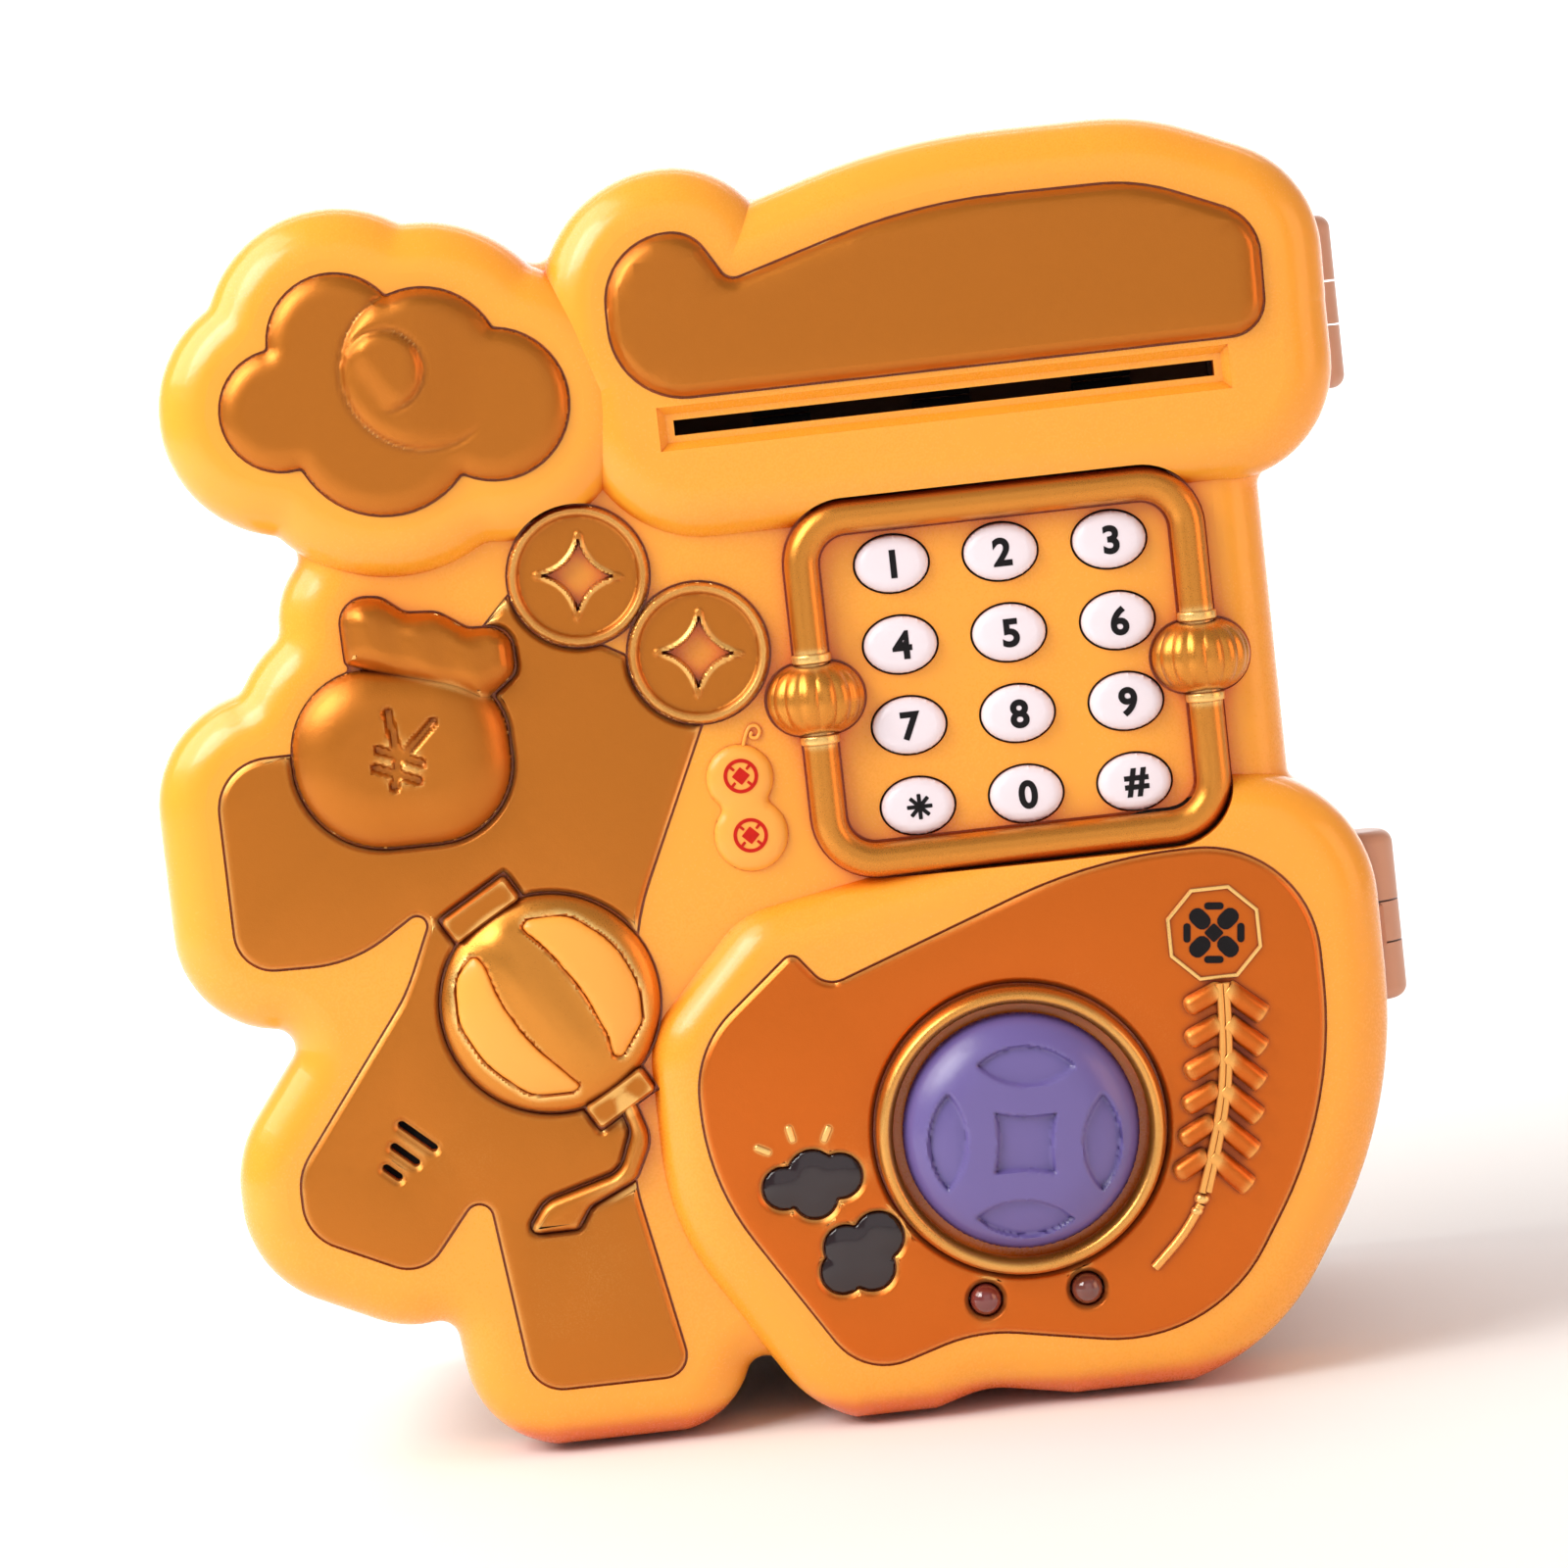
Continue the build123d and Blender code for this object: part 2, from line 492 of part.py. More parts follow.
# firecracker string: a stem of straight runs with six pairs of barrels
STEM = ((66.1, 61.2), (65.8, 54), (64, 42), (60.2, 30), (58, 26), (51, 18.8))
string = Part()
for (xa, za), (xb, zb) in zip(STEM, STEM[1:]):
    run = Vector((xb - xa) * SX, (zb - za) * SZ)
    middle = Pos((xa + xb) / 2 * SX, (za + zb) / 2 * SZ)
    angle = degrees(atan2(run.Y, run.X))
    cord = SlotOverall(run.length + 1.6, 1.6)
    string += slab(middle * Rot(0, 0, angle) * cord, plate_front, plate_front + 1.2)
string += slab(disc(59.4, 28.6, 1.6), plate_front, plate_front + 1.8)
CRACKER_PAIRS = 6
CRACKER_L = 8.8
CRACKER_W = 2.7
for i in range(CRACKER_PAIRS):
    t = i / (CRACKER_PAIRS - 1)
    left_tip = (59.6 - 3.4 * t * t - 0.4 * t, 58.2 - 25.2 * t)
    right_tip = (71.4 - 1.2 * t - 3.6 * t * t, 56.2 - 25.2 * t)
    for (x, z), angle, lean in ((left_tip, 20, -1), (right_tip, -40, 1)):
        reach = lean * (CRACKER_L / 2 - 1.5)
        middle = Pos(x * SX - reach * cos(radians(angle)), z * SZ - reach * sin(radians(angle)))
        cracker = SlotOverall(CRACKER_L, CRACKER_W)
        string += slab(middle * Rot(0, 0, angle) * cracker, plate_front, plate_front + 1.6)
nodes["firecracker_string"] = string

# ---- keypad
frame = round_front(slab(frame_face, DOOR_BASE - SINK, DOOR_BASE + TUBE_W - 1), TUBE_W / 2 - 0.15)
bead_half = BEAD_H / 2
for x in beads_at:
    profile = Plane.XZ * make_face(
        ThreePointArc((2.2, -bead_half), (BEAD_W / 2, 0), (2.2, bead_half))
        + Line((2.2, bead_half), (0, bead_half)) + Line((0, bead_half), (0, -bead_half))
        + Line((0, -bead_half), (2.2, -bead_half)))
    bead = revolve(profile, Axis.Z)
    bead += Cylinder(TUBE_W / 2 + 0.3, BEAD_H + 3.2)
    bead = Pos(x, -DOOR_BASE - 0.6, BEAD_Z) * bead
    frame += bead & block(x - BEAD_W, x + BEAD_W, BEAD_Z - BEAD_H, BEAD_Z + BEAD_H, DOOR_BASE - SINK, 60)
nodes["keypad_frame"] = frame

key_back = lower_inner - 1.4
membrane_front = key_back - 1.8
for name, (x, z) in zip(KEYS, key_places):
    key = round_front(ellipse_slab(x, z, KEY_W, KEY_H, key_back, DOOR_BASE + KEY_PROUD), 0.8)
    key += ellipse_slab(x, z, KEY_W + 2 * KEY_FLANGE, KEY_H + 2 * KEY_FLANGE, key_back, lower_inner - 0.2)
    key += rod(x, z, 2, key_back - 0.5, key_back)
    nodes["key_" + name] = key
board_w = 2 * KEY_PITCH_X + KEY_W + 9
board_h = 3 * KEY_PITCH_Z + KEY_H + 6
board_x = KEYPAD_X + 0.9
board_z = KEYPAD_Z - 0.3
sheet = slab(Pos(board_x, board_z) * RectangleRounded(board_w, board_h, 2), BOARD_FRONT, BOARD_FRONT + 1.2)
for x, z in key_places:
    sheet += rod(x, z, 3, BOARD_FRONT, membrane_front)
for x, z in board_posts:
    sheet -= rod(x, z, 3, 0, LOBE_OUT)
nodes["key_membrane"] = sheet
board = slab(Pos(board_x, board_z) * Rectangle(board_w, board_h), BOARD_FRONT - BOARD_T, BOARD_FRONT)
board_back = BOARD_FRONT - BOARD_T
chip = block(board_x - 5, board_x + 5, board_z + 4, board_z + 14, board_back - 2, board_back)
plug = block(board_x - 25, board_x - 15, board_z - 18, board_z - 13, board_back - 5, board_back)
board += chip + plug
for x, z in board_posts:
    board -= rod(x, z, SCREW_R + 0.2, 0, LOBE_OUT)
nodes["control_board"] = board
screws += [screw(x, z, BOARD_FRONT - BOARD_T) for x, z in board_posts]

# ---- knob, spindle and crank
knob_back = lobe_back + 1.2
knob = round_front(slab(Pos(KNOB_X, KNOB_Z) * Circle(KNOB_R), knob_back, LOBE_OUT + KNOB_H), 6.0)
knob -= rod(KNOB_X, KNOB_Z, SPINDLE_R, 0, knob_back + 4)
LENS_R = 9.4
lens = Pos(0, LENS_R - 3.2) * Circle(LENS_R) & Pos(0, 3.2 - LENS_R) * Circle(LENS_R)
pocket_floor = LOBE_OUT + KNOB_H - 1.0
for quarter in range(4):
    place = Pos(KNOB_X, KNOB_Z) * Rot(0, 0, -6.4 + 90 * quarter) * Pos(0, 11.6)
    knob -= slab(place * lens, pocket_floor, LOBE_OUT + KNOB_H + 2)
square = Pos(KNOB_X, KNOB_Z) * Rot(0, 0, -6.4) * Rectangle(9.4, 9.4)
knob -= slab(square, pocket_floor, LOBE_OUT + KNOB_H + 2)
nodes["knob"] = knob
bezel = slab(Pos(KNOB_X, KNOB_Z) * (Circle(BEZEL_OUT) - Circle(BEZEL_IN)), lobe_back, LOBE_OUT + BEZEL_PROUD)
nodes["knob_bezel"] = round_front(bezel, 1.25)

panel -= rod(KNOB_X, KNOB_Z, SPINDLE_R + SHAFT_CLEAR, -1, PANEL_T + 1)
crank_front = -0.8
crank_back = -2.6
nodes["knob_spindle"] = rod(KNOB_X, KNOB_Z, SPINDLE_R, crank_back, knob_back + 4)
half_turn = radians(KNOB_TURN / 2)
pin_x = KNOB_X + CRANK_R * sin(half_turn)
pin_z = KNOB_Z + CRANK_R * cos(half_turn)
crank = rod(KNOB_X, KNOB_Z, CRANK_R + CRANK_PIN_R + 1.5, crank_back, crank_front)
crank -= rod(KNOB_X, KNOB_Z, SPINDLE_R, crank_back - 1, crank_front + 1)
crank += rod(pin_x, pin_z, CRANK_PIN_R, bolt_back - 0.4, crank_back)
nodes["knob_crank"] = crank

# ---- latch bolt, with a slotted head for the crank pin; its rest place is withdrawn
head_w = 2 * CRANK_PIN_R + 9
head_top = KNOB_Z + CRANK_R + CRANK_PIN_R + 4
bolt = block(TIP_X, pin_x + head_w / 2, KNOB_Z - BOLT_H / 2, KNOB_Z + BOLT_H / 2, bolt_back, BOLT_OUT)
bolt += block(pin_x - head_w / 2, pin_x + head_w / 2, KNOB_Z - BOLT_H / 2, head_top, bolt_back, BOLT_OUT)
bolt -= block(pin_x - CRANK_PIN_R - BOLT_CLEAR, pin_x + CRANK_PIN_R + BOLT_CLEAR,
              pin_z - CRANK_PIN_R - 1, KNOB_Z + CRANK_R + CRANK_PIN_R + 1, bolt_back - 1, BOLT_OUT + 1)
nodes["latch_bolt"] = bolt
guides = []
GUIDES_X = (-62.0 * SX, 4.0 * SX)
for x in GUIDES_X:
    guide = block(x - 4, x + 4, KNOB_Z - BOLT_H / 2 - 3, KNOB_Z + BOLT_H / 2 + 3, bolt_back - 2.4, 0)
    guide -= block(x - 5, x + 5, KNOB_Z - BOLT_H / 2 - BOLT_CLEAR, KNOB_Z + BOLT_H / 2 + BOLT_CLEAR,
                   bolt_back - BOLT_CLEAR, BOLT_OUT + BOLT_CLEAR)
    guides.append(guide)
nodes["bolt_guides"] = guides

# solenoid that locks the bolt, drawn with the code accepted and its plunger lifted
SOL_X = -22.0 * SX
sol_bottom = KNOB_Z + BOLT_H / 2 + 5
solenoid = block(SOL_X - 10, SOL_X + 10, sol_bottom, sol_bottom + 16, -13, -1)
solenoid += block(SOL_X - 13, SOL_X + 13, sol_bottom + 2, sol_bottom + 14, -1, 0)
solenoid -= post(SOL_X, 5, sol_bottom - 1, sol_bottom + 10, 2.4)
nodes["lock_solenoid"] = solenoid
nodes["lock_plunger"] = post(SOL_X, 5, sol_bottom - 3.6, sol_bottom + 9, 2.2)

# cover over the lock, behind the panel
LOCK_BACK = -15.6
cover_x0 = -44.0 * SX
cover_x1 = pin_x + head_w / 2 + 4
cover_z0 = KNOB_Z - CRANK_R - 6
cover_z1 = sol_bottom + 19
cover_wall = 1.6
lock_cover = fillet(block(cover_x0, cover_x1, cover_z0, cover_z1, LOCK_BACK, 0).edges().filter_by(Axis.Y), 3)
lock_cover -= block(cover_x0 + cover_wall, cover_x1 - cover_wall, cover_z0 + cover_wall,
                    cover_z1 - cover_wall, LOCK_BACK + cover_wall, 1)
lock_cover -= block(cover_x0 - 1, cover_x0 + 5, KNOB_Z - BOLT_H / 2 - 0.6, KNOB_Z + BOLT_H / 2 + 0.6,
                    bolt_back - 0.6, 1)
nodes["lock_cover"] = lock_cover

# ---- bill feeder
FEED_OUT = 12.8
roller_z = SLOT_Z - TYRE_GAP / 2 - TYRE_R
pinch_z = SLOT_Z + TYRE_GAP / 2 + TYRE_R
side_t = 1.5
feed_x0 = SLOT_X - slot_half - 1.8
feed_x1 = SLOT_X + slot_half + 1.8
feed_back = PANEL_T + 0.3
feed_front = upper_inner - 1.8
idler_z = roller_z + GEAR_MODULE * (DRIVE_TEETH + IDLER_TEETH) / 2
motor_z = idler_z + GEAR_MODULE * (IDLER_TEETH + PINION_TEETH) / 2
side_low = roller_z - TYRE_R - 1
feeder = block(feed_x0 - side_t, feed_x0, side_low, pinch_z + 5, feed_back, feed_front)
feeder += block(feed_x1, feed_x1 + side_t, side_low, motor_z + 6, feed_back, feed_front)
lip_gap = SLOT_H / 2 + 0.3
for z0, z1 in ((SLOT_Z - lip_gap - 1.3, SLOT_Z - lip_gap), (SLOT_Z + lip_gap, SLOT_Z + lip_gap + 1.3)):
    feeder += block(feed_x0, feed_x1, z0, z1, feed_back, feed_front)
TYRES_X = [SLOT_X + side * SLOT_W * 0.3 for side in (-1, 0, 1)]
for x in TYRES_X:
    feeder -= block(x - TYRE_W / 2 - 1, x + TYRE_W / 2 + 1, SLOT_Z - 4, SLOT_Z + 4,
                    FEED_OUT - TYRE_R - 0.6, FEED_OUT + TYRE_R + 0.6)
for z in (roller_z, pinch_z):
    feeder -= cross_rod(feed_x0 - 5, feed_x1 + 5, FEED_OUT, z, ROLLER_R + SHAFT_CLEAR)
feeder -= cross_rod(feed_x1 - 1, feed_x1 + 5, FEED_OUT, motor_z, 3.0)
gear_x0 = feed_x1 + side_t + 0.9
gear_x1 = gear_x0 + GEAR_W
feeder += cross_rod(feed_x1, gear_x1 + 0.6, FEED_OUT, idler_z, ROLLER_R)
nodes["feeder_frame"] = feeder
panel -= slab(Pos(SLOT_X, SLOT_Z) * Rectangle(SLOT_W + 2, 2 * lip_gap + 0.6), -1, PANEL_T + 1)

nodes["drive_shaft"] = cross_rod(feed_x0 - side_t - 0.4, gear_x1 + 0.4, FEED_OUT, roller_z, ROLLER_R)
nodes["drive_tyres"] = [cross_rod(x - TYRE_W / 2, x + TYRE_W / 2, FEED_OUT, roller_z, TYRE_R)
                        - cross_rod(x - TYRE_W, x + TYRE_W, FEED_OUT, roller_z, ROLLER_R) for x in TYRES_X]
pinch = cross_rod(feed_x0 - side_t - 0.4, feed_x1 + side_t + 0.4, FEED_OUT, pinch_z, ROLLER_R)
for x in TYRES_X:
    pinch += cross_rod(x - TYRE_W / 2, x + TYRE_W / 2, FEED_OUT, pinch_z, TYRE_R)
nodes["pinch_roller"] = pinch


def involute(r, base_r):
    """How far an involute from the base circle has turned at radius r."""
    return sqrt(max(0, (r / base_r) ** 2 - 1)) - acos(min(1, base_r / r))


def gear(teeth, tooth_angle, bore):
    """A spur gear on Z with involute flanks; one tooth points along tooth_angle."""
    pitch_r = GEAR_MODULE * teeth / 2
    base_r = pitch_r * cos(radians(25))
    tip_r = pitch_r + 0.85 * GEAR_MODULE
    root_r = pitch_r - 1.25 * GEAR_MODULE
    half_tooth = pi / teeth / 2 - 0.13 / pitch_r
    body = Sketch() + Circle(root_r)
    steps = 5
    start_r = max(base_r, root_r)
    for k in range(teeth):
        middle = radians(tooth_angle) + 2 * pi * k / teeth
        flank = []
        for i in range(steps + 1):
            r = start_r + (tip_r - start_r) * i / steps
            flank.append((r, half_tooth + involute(pitch_r, base_r) - involute(r, base_r)))
        flank.insert(0, (root_r - 0.3, flank[0][1]))
        points = [(r * cos(middle - a), r * sin(middle - a)) for r, a in flank]
        points += [(r * cos(middle + a), r * sin(middle + a)) for r, a in reversed(flank)]
        body += make_face(Polyline(*points, close=True))
    return body - Circle(bore)


def gear_on_shaft(teeth, z, tooth_angle, bore):
    plane = Plane(origin=(gear_x0, -FEED_OUT, z), x_dir=(0, 1, 0), z_dir=(1, 0, 0))
    return extrude(plane * gear(teeth, tooth_angle, bore), amount=GEAR_W)


nodes["drive_gear"] = gear_on_shaft(DRIVE_TEETH, roller_z, 90, ROLLER_R)
nodes["idler_gear"] = gear_on_shaft(IDLER_TEETH, idler_z, 90 + 180 / IDLER_TEETH, ROLLER_R + SHAFT_CLEAR)
SHAFT_R = 1.0
nodes["motor_pinion"] = gear_on_shaft(PINION_TEETH, motor_z, 90, SHAFT_R)
motor = cross_rod(feed_x1 - MOTOR_L, feed_x1, FEED_OUT, motor_z, MOTOR_R)
motor += cross_rod(feed_x1, feed_x1 + side_t, FEED_OUT, motor_z, 3.0)
motor -= cross_rod(feed_x1 - 6, feed_x1 + 5, FEED_OUT, motor_z, SHAFT_R + SHAFT_CLEAR)
nodes["feed_motor"] = motor
nodes["motor_shaft"] = cross_rod(feed_x1 - 5, gear_x1 + 0.3, FEED_OUT, motor_z, SHAFT_R)

# ---- batteries behind the left plate
TRAY_X = -43.5 * SX
TRAY_Z = 98.0 * SZ
cell_pitch = 2 * CELL_R + 1.2
tray_w = CELL_L + 6
tray_h = 3 * cell_pitch + 1.2
tray_wall = 1.4
tray_front = PANEL_T + 2 * CELL_R - 1.2
tray_half_w = tray_w / 2 + tray_wall
tray_half_h = tray_h / 2 + tray_wall
tray = block(TRAY_X - tray_half_w, TRAY_X + tray_half_w, TRAY_Z - tray_half_h, TRAY_Z + tray_half_h,
             PANEL_T, tray_front)
room = block(TRAY_X - tray_w / 2, TRAY_X + tray_w / 2, TRAY_Z - tray_h / 2, TRAY_Z + tray_h / 2,
             -1, tray_front - tray_wall)
nodes["battery_tray"] = tray - room
panel -= room
cell_out = tray_front - tray_wall - CELL_R - 0.1
rows = [TRAY_Z + k * cell_pitch for k in (-1, 0, 1)]
cells = []
for k, z in enumerate(rows):
    lean = 1 if k % 2 else -1
    cell = cross_rod(TRAY_X - CELL_L / 2 + 0.6, TRAY_X + CELL_L / 2 - 0.6, cell_out, z, CELL_R)
    nub = cross_rod(TRAY_X - CELL_L / 2, TRAY_X + CELL_L / 2, cell_out, z, 2.7)
    plus_end = TRAY_X + lean * CELL_L / 2
    cells.append(cell + (nub & block(plus_end - 10, plus_end + 10, z - CELL_R, z + CELL_R, 0, DOOR_BASE)))
nodes["batteries"] = cells
contacts = []
for k, z in enumerate(rows):
    lean = 1 if k % 2 else -1
    wall_x = TRAY_X - lean * tray_w / 2
    spring_end = TRAY_X - lean * (CELL_L / 2 - 0.6)
    contacts.append(cross_rod(min(wall_x, spring_end), max(wall_x, spring_end), cell_out, z, 3.2))
    wall_x = TRAY_X + lean * tray_w / 2
    near_x = min(wall_x, wall_x - lean)
    far_x = max(wall_x, wall_x - lean)
    contacts.append(cross_rod(near_x, far_x, cell_out, z, 4))
nodes["battery_contacts"] = contacts
cover_half_w = tray_w / 2 + 2.4
cover_half_h = tray_h / 2 + 2.4
battery_cover = block(TRAY_X - cover_half_w, TRAY_X + cover_half_w + 7,
                      TRAY_Z - cover_half_h, TRAY_Z + cover_half_h, -1.8, 0)
battery_cover = fillet(battery_cover.edges().filter_by(Axis.Y), 2.5)
COVER_SCREW = (TRAY_X + cover_half_w + 3, TRAY_Z)
battery_cover -= rod(*COVER_SCREW, SCREW_R + 0.2, -5, 5)
panel += rod(*COVER_SCREW, BOSS_R, 0, PANEL_T + 4)
panel -= rod(*COVER_SCREW, SCREW_R, -5, PANEL_T + 5)
nodes["battery_cover"] = battery_cover
screws.append(screw(*COVER_SCREW, -1.8))
nodes["case_screws"] = screws
nodes["door_back_panel"] = panel

# ---- speaker and lamps
SPEAKER = (-65.5 * SX, 49.5 * SZ)
speaker_front = lower_inner - SINK + 0.8
speaker = rod(*SPEAKER, SPEAKER_R, speaker_front - 2.5, speaker_front) + rod(
    *SPEAKER, SPEAKER_R * 0.55, speaker_front - 6, speaker_front - 2.4)
nodes["speaker"] = speaker
for name, (x, z) in zip(("led_red", "led_green"), LEDS):
    led = rod(x, z, LED_R, LOBE_OUT - 5.6, LOBE_OUT - 0.2)
    led += Pos(x, -(LOBE_OUT - 0.2), z) * Sphere(LED_R)
    led += rod(x, z, LED_R + 0.5, LOBE_OUT - 6.4, LOBE_OUT - 5.4)
    for side in (-1, 1):
        leg_x = x + side * 1.27
        led += block(leg_x - 0.3, leg_x + 0.3, z - 0.3, z + 0.3, LOBE_OUT - 10, LOBE_OUT - 6)
    nodes[name] = led
led_x = (LEDS[0][0] + LEDS[1][0]) / 2
led_z = LEDS[0][1]
lamp_board = block(led_x - 12, led_x + 12, led_z - 4, led_z + 4, LOBE_OUT - 11.2, LOBE_OUT - 10)
nodes["lamp_board"] = lamp_board


def write(name, shape):
    parts = shape if isinstance(shape, list) else [shape]
    wrapped = [part.wrapped if hasattr(part, "wrapped") else part for part in parts]
    solids = [solid for shape in wrapped for solid in Part(shape).solids()]
    move = Pos(-X_MID, -Y_MID, -FLOOR)
    placed = [move * solid for solid in solids]
    export_step(Compound(children=placed) if len(placed) > 1 else placed[0], "parts/" + name + ".step")


os.makedirs("parts", exist_ok=True)
for name, shape in nodes.items():
    write(name, shape)
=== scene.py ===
# %% [markdown]
# # A toy safe coin bank
# A deep plastic money box with a hinged door. The door is yellow and puffy, and carries painted
# gold relief: a cloud, a money bag, coins, a lantern, a keypad in a gold frame and a purple knob.
# The CAD model gives every place and size. Here each visible piece gets its real roundings and finish.

# %% Load the frame
import json
from math import atan2, cos, degrees, hypot, pi, radians, sin, sqrt

import bmesh
import bpy
from mathutils import Matrix, Vector
from mathutils.kdtree import KDTree


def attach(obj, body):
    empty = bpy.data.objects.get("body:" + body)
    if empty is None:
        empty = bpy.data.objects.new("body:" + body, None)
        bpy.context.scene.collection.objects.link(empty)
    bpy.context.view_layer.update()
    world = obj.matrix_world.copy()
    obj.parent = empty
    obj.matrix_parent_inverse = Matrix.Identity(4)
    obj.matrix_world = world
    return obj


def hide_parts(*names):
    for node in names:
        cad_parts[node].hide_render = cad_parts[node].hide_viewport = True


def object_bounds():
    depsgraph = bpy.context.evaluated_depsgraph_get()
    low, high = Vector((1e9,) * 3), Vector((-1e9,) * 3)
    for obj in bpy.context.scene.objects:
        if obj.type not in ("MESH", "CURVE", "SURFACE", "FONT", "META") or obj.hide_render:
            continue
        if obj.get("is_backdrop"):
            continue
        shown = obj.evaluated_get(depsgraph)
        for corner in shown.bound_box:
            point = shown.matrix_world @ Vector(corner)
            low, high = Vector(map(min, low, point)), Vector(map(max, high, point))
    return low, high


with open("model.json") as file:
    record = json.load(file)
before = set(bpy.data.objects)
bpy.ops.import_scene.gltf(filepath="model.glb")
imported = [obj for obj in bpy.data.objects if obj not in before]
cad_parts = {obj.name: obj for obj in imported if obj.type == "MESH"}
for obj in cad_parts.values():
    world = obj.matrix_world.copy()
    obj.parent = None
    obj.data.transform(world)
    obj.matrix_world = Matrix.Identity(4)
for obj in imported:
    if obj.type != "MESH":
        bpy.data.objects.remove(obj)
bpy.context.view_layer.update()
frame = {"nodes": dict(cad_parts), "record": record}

# %% [markdown]
# ## The drawing
# The relief is easiest to shape lying flat: X to the right, Y up the face, Z out towards the user,
# all in millimetres. One matrix then scales a finished piece and stands it up in the frame.
# "Out" counts from the plane where the door meets the box.

# %% From the drawing to the frame
MM = 0.001
STAND_UP = (Matrix.Translation((-0.9 * MM, -26.0 * MM, 2.2 * MM))
            @ Matrix.Rotation(radians(90), 4, "X") @ Matrix.Scale(MM, 4))
LAY_FLAT = STAND_UP.inverted()
LOWER = 21.0     # out level of the door's lower field
UPPER = 26.0     # out level of the three raised lobes
DOOR = "door"


# %% [markdown]
# ## Shader arithmetic
# Node trees get hard to read when each sum is a node made by hand. A small class holds one output
# socket and adds a Math node whenever it is used in a Python sum.

# %% A wire is one socket of a material
class Wire:
    def __init__(self, paint, socket):
        self.paint = paint
        self.socket = socket

    def _math(self, kind, first, second):
        return self.paint.node("ShaderNodeMath", {"operation": kind}, {0: first, 1: second}).out()

    def __add__(self, other):
        return self._math("ADD", self, other)

    __radd__ = __add__

    def __sub__(self, other):
        return self._math("SUBTRACT", self, other)

    def __rsub__(self, other):
        return self._math("SUBTRACT", other, self)

    def __mul__(self, other):
        return self._math("MULTIPLY", self, other)

    __rmul__ = __mul__


class Node:
    def __init__(self, paint, node):
        self.paint = paint
        self.node = node

    def out(self, name=0):
        return Wire(self.paint, self.node.outputs[name])


class Paint:
    """A material with one Principled shader; node() adds any other node."""

    def __init__(self, name):
        self.material = bpy.data.materials.new(name)
        self.material.use_nodes = True
        self.tree = self.material.node_tree
        self.shader = self.tree.nodes["Principled BSDF"]

    def plug(self, node, inputs):
        for name, value in inputs.items():
            socket = node.inputs[name]
            if isinstance(value, Wire):
                self.tree.links.new(value.socket, socket)
            else:
                socket.default_value = value

    def node(self, kind, settings=None, inputs=None):
        node = self.tree.nodes.new(kind)
        for name, value in (settings or {}).items():
            if name == "stops":
                ramp = node.color_ramp.elements
                for element, (position, colour) in zip(ramp, value):
                    element.position = position
                    element.color = colour
            else:
                setattr(node, name, value)
        self.plug(node, inputs or {})
        return Node(self, node)

    def set(self, **values):
        self.plug(self.shader, {name.replace("_", " "): value for name, value in values.items()})
        return self

    def place(self):
        return self.node("ShaderNodeTexCoord").out("Object")

    def noise(self, scale, detail=2.0, stretch=None):
        where = self.place()
        if stretch:
            where = self.node("ShaderNodeMapping", {}, {"Vector": where, "Scale": stretch}).out()
        return self.node("ShaderNodeTexNoise", {},
                         {"Vector": where, "Scale": scale, "Detail": detail}).out("Fac")

    def blend(self, amount, first, second):
        mix = self.node("ShaderNodeMix", {"data_type": "RGBA"})
        self.plug(mix.node, {0: amount, 6: first, 7: second})
        return Wire(self, mix.node.outputs[2])

    def step(self, wire, low, high):
        return self.node("ShaderNodeMapRange", {"interpolation_type": "SMOOTHSTEP"},
                         {"Value": wire, "From Min": low, "From Max": high}).out("Result")

    def bump(self, height, distance, strength=1.0):
        return self.node("ShaderNodeBump", {}, {
            "Height": height, "Distance": distance, "Strength": strength}).out("Normal")


def colour(red, green, blue):
    """A colour as a designer names it, from 0 to 255, turned to the linear values that shaders use."""
    def linear(value):
        value /= 255
        return value / 12.92 if value <= 0.04045 else ((value + 0.055) / 1.055) ** 2.4
    return (linear(red), linear(green), linear(blue), 1.0)


# %% [markdown]
# ## Finishes
# Moulded plastic is never one flat colour. It has broad, faint clouding and a fine orange-peel skin that
# softens its highlights. Shade is painted into creases and along gaps as a warmer, deeper tone;
# Ambient Occlusion finds those places from the shape alone.

# %% Moulded plastic
def moulded(name, main, shade_colour, rough=0.3, peel=0.00003, crease=0.006, cloud=0.35, **shader):
    paint = Paint(name)
    # painted shade: Ambient Occlusion turns creases and gaps towards the darker shade colour, mixed with
    # random clouding
    occlusion = paint.node("ShaderNodeAmbientOcclusion", {"samples": 8}, {"Distance": crease}).out("AO")
    shade = 1 - paint.step(occlusion, 0.25, 0.95)
    clouds = paint.noise(28.0, 3.0)
    grain = paint.noise(2600.0, 1.0)
    tone = shade + (clouds - 0.5) * cloud
    skin = paint.noise(420.0, 2.0)
    paint.set(Base_Color=paint.blend(paint.step(tone, 0.0, 1.0), main, shade_colour),
              Roughness=rough + (clouds - 0.5) * 0.10 + (grain - 0.5) * 0.06,
              Normal=paint.bump(skin + grain * 0.35, peel))
    paint.set(**shader)
    return paint.material


yellow = moulded("yellow_plastic", colour(249, 165, 46), colour(222, 98, 10), rough=0.27, crease=0.008,
                 Subsurface_Weight=0.12, Subsurface_Radius=(1.0, 0.45, 0.12), Subsurface_Scale=0.004,
                 Coat_Weight=0.25, Coat_Roughness=0.12)
beige = moulded("beige_plastic", colour(204, 152, 124), colour(170, 106, 80), rough=0.36)
badge_yellow = moulded("badge_yellow", colour(248, 168, 66), colour(230, 122, 28), rough=0.33, crease=0.002)
purple = moulded("purple_plastic", colour(106, 92, 156), colour(56, 42, 100), rough=0.33, crease=0.003,
                 Coat_Weight=0.2, Coat_Roughness=0.2)
key_white = moulded("key_white", colour(236, 226, 234), colour(206, 186, 200), rough=0.3, crease=0.002)
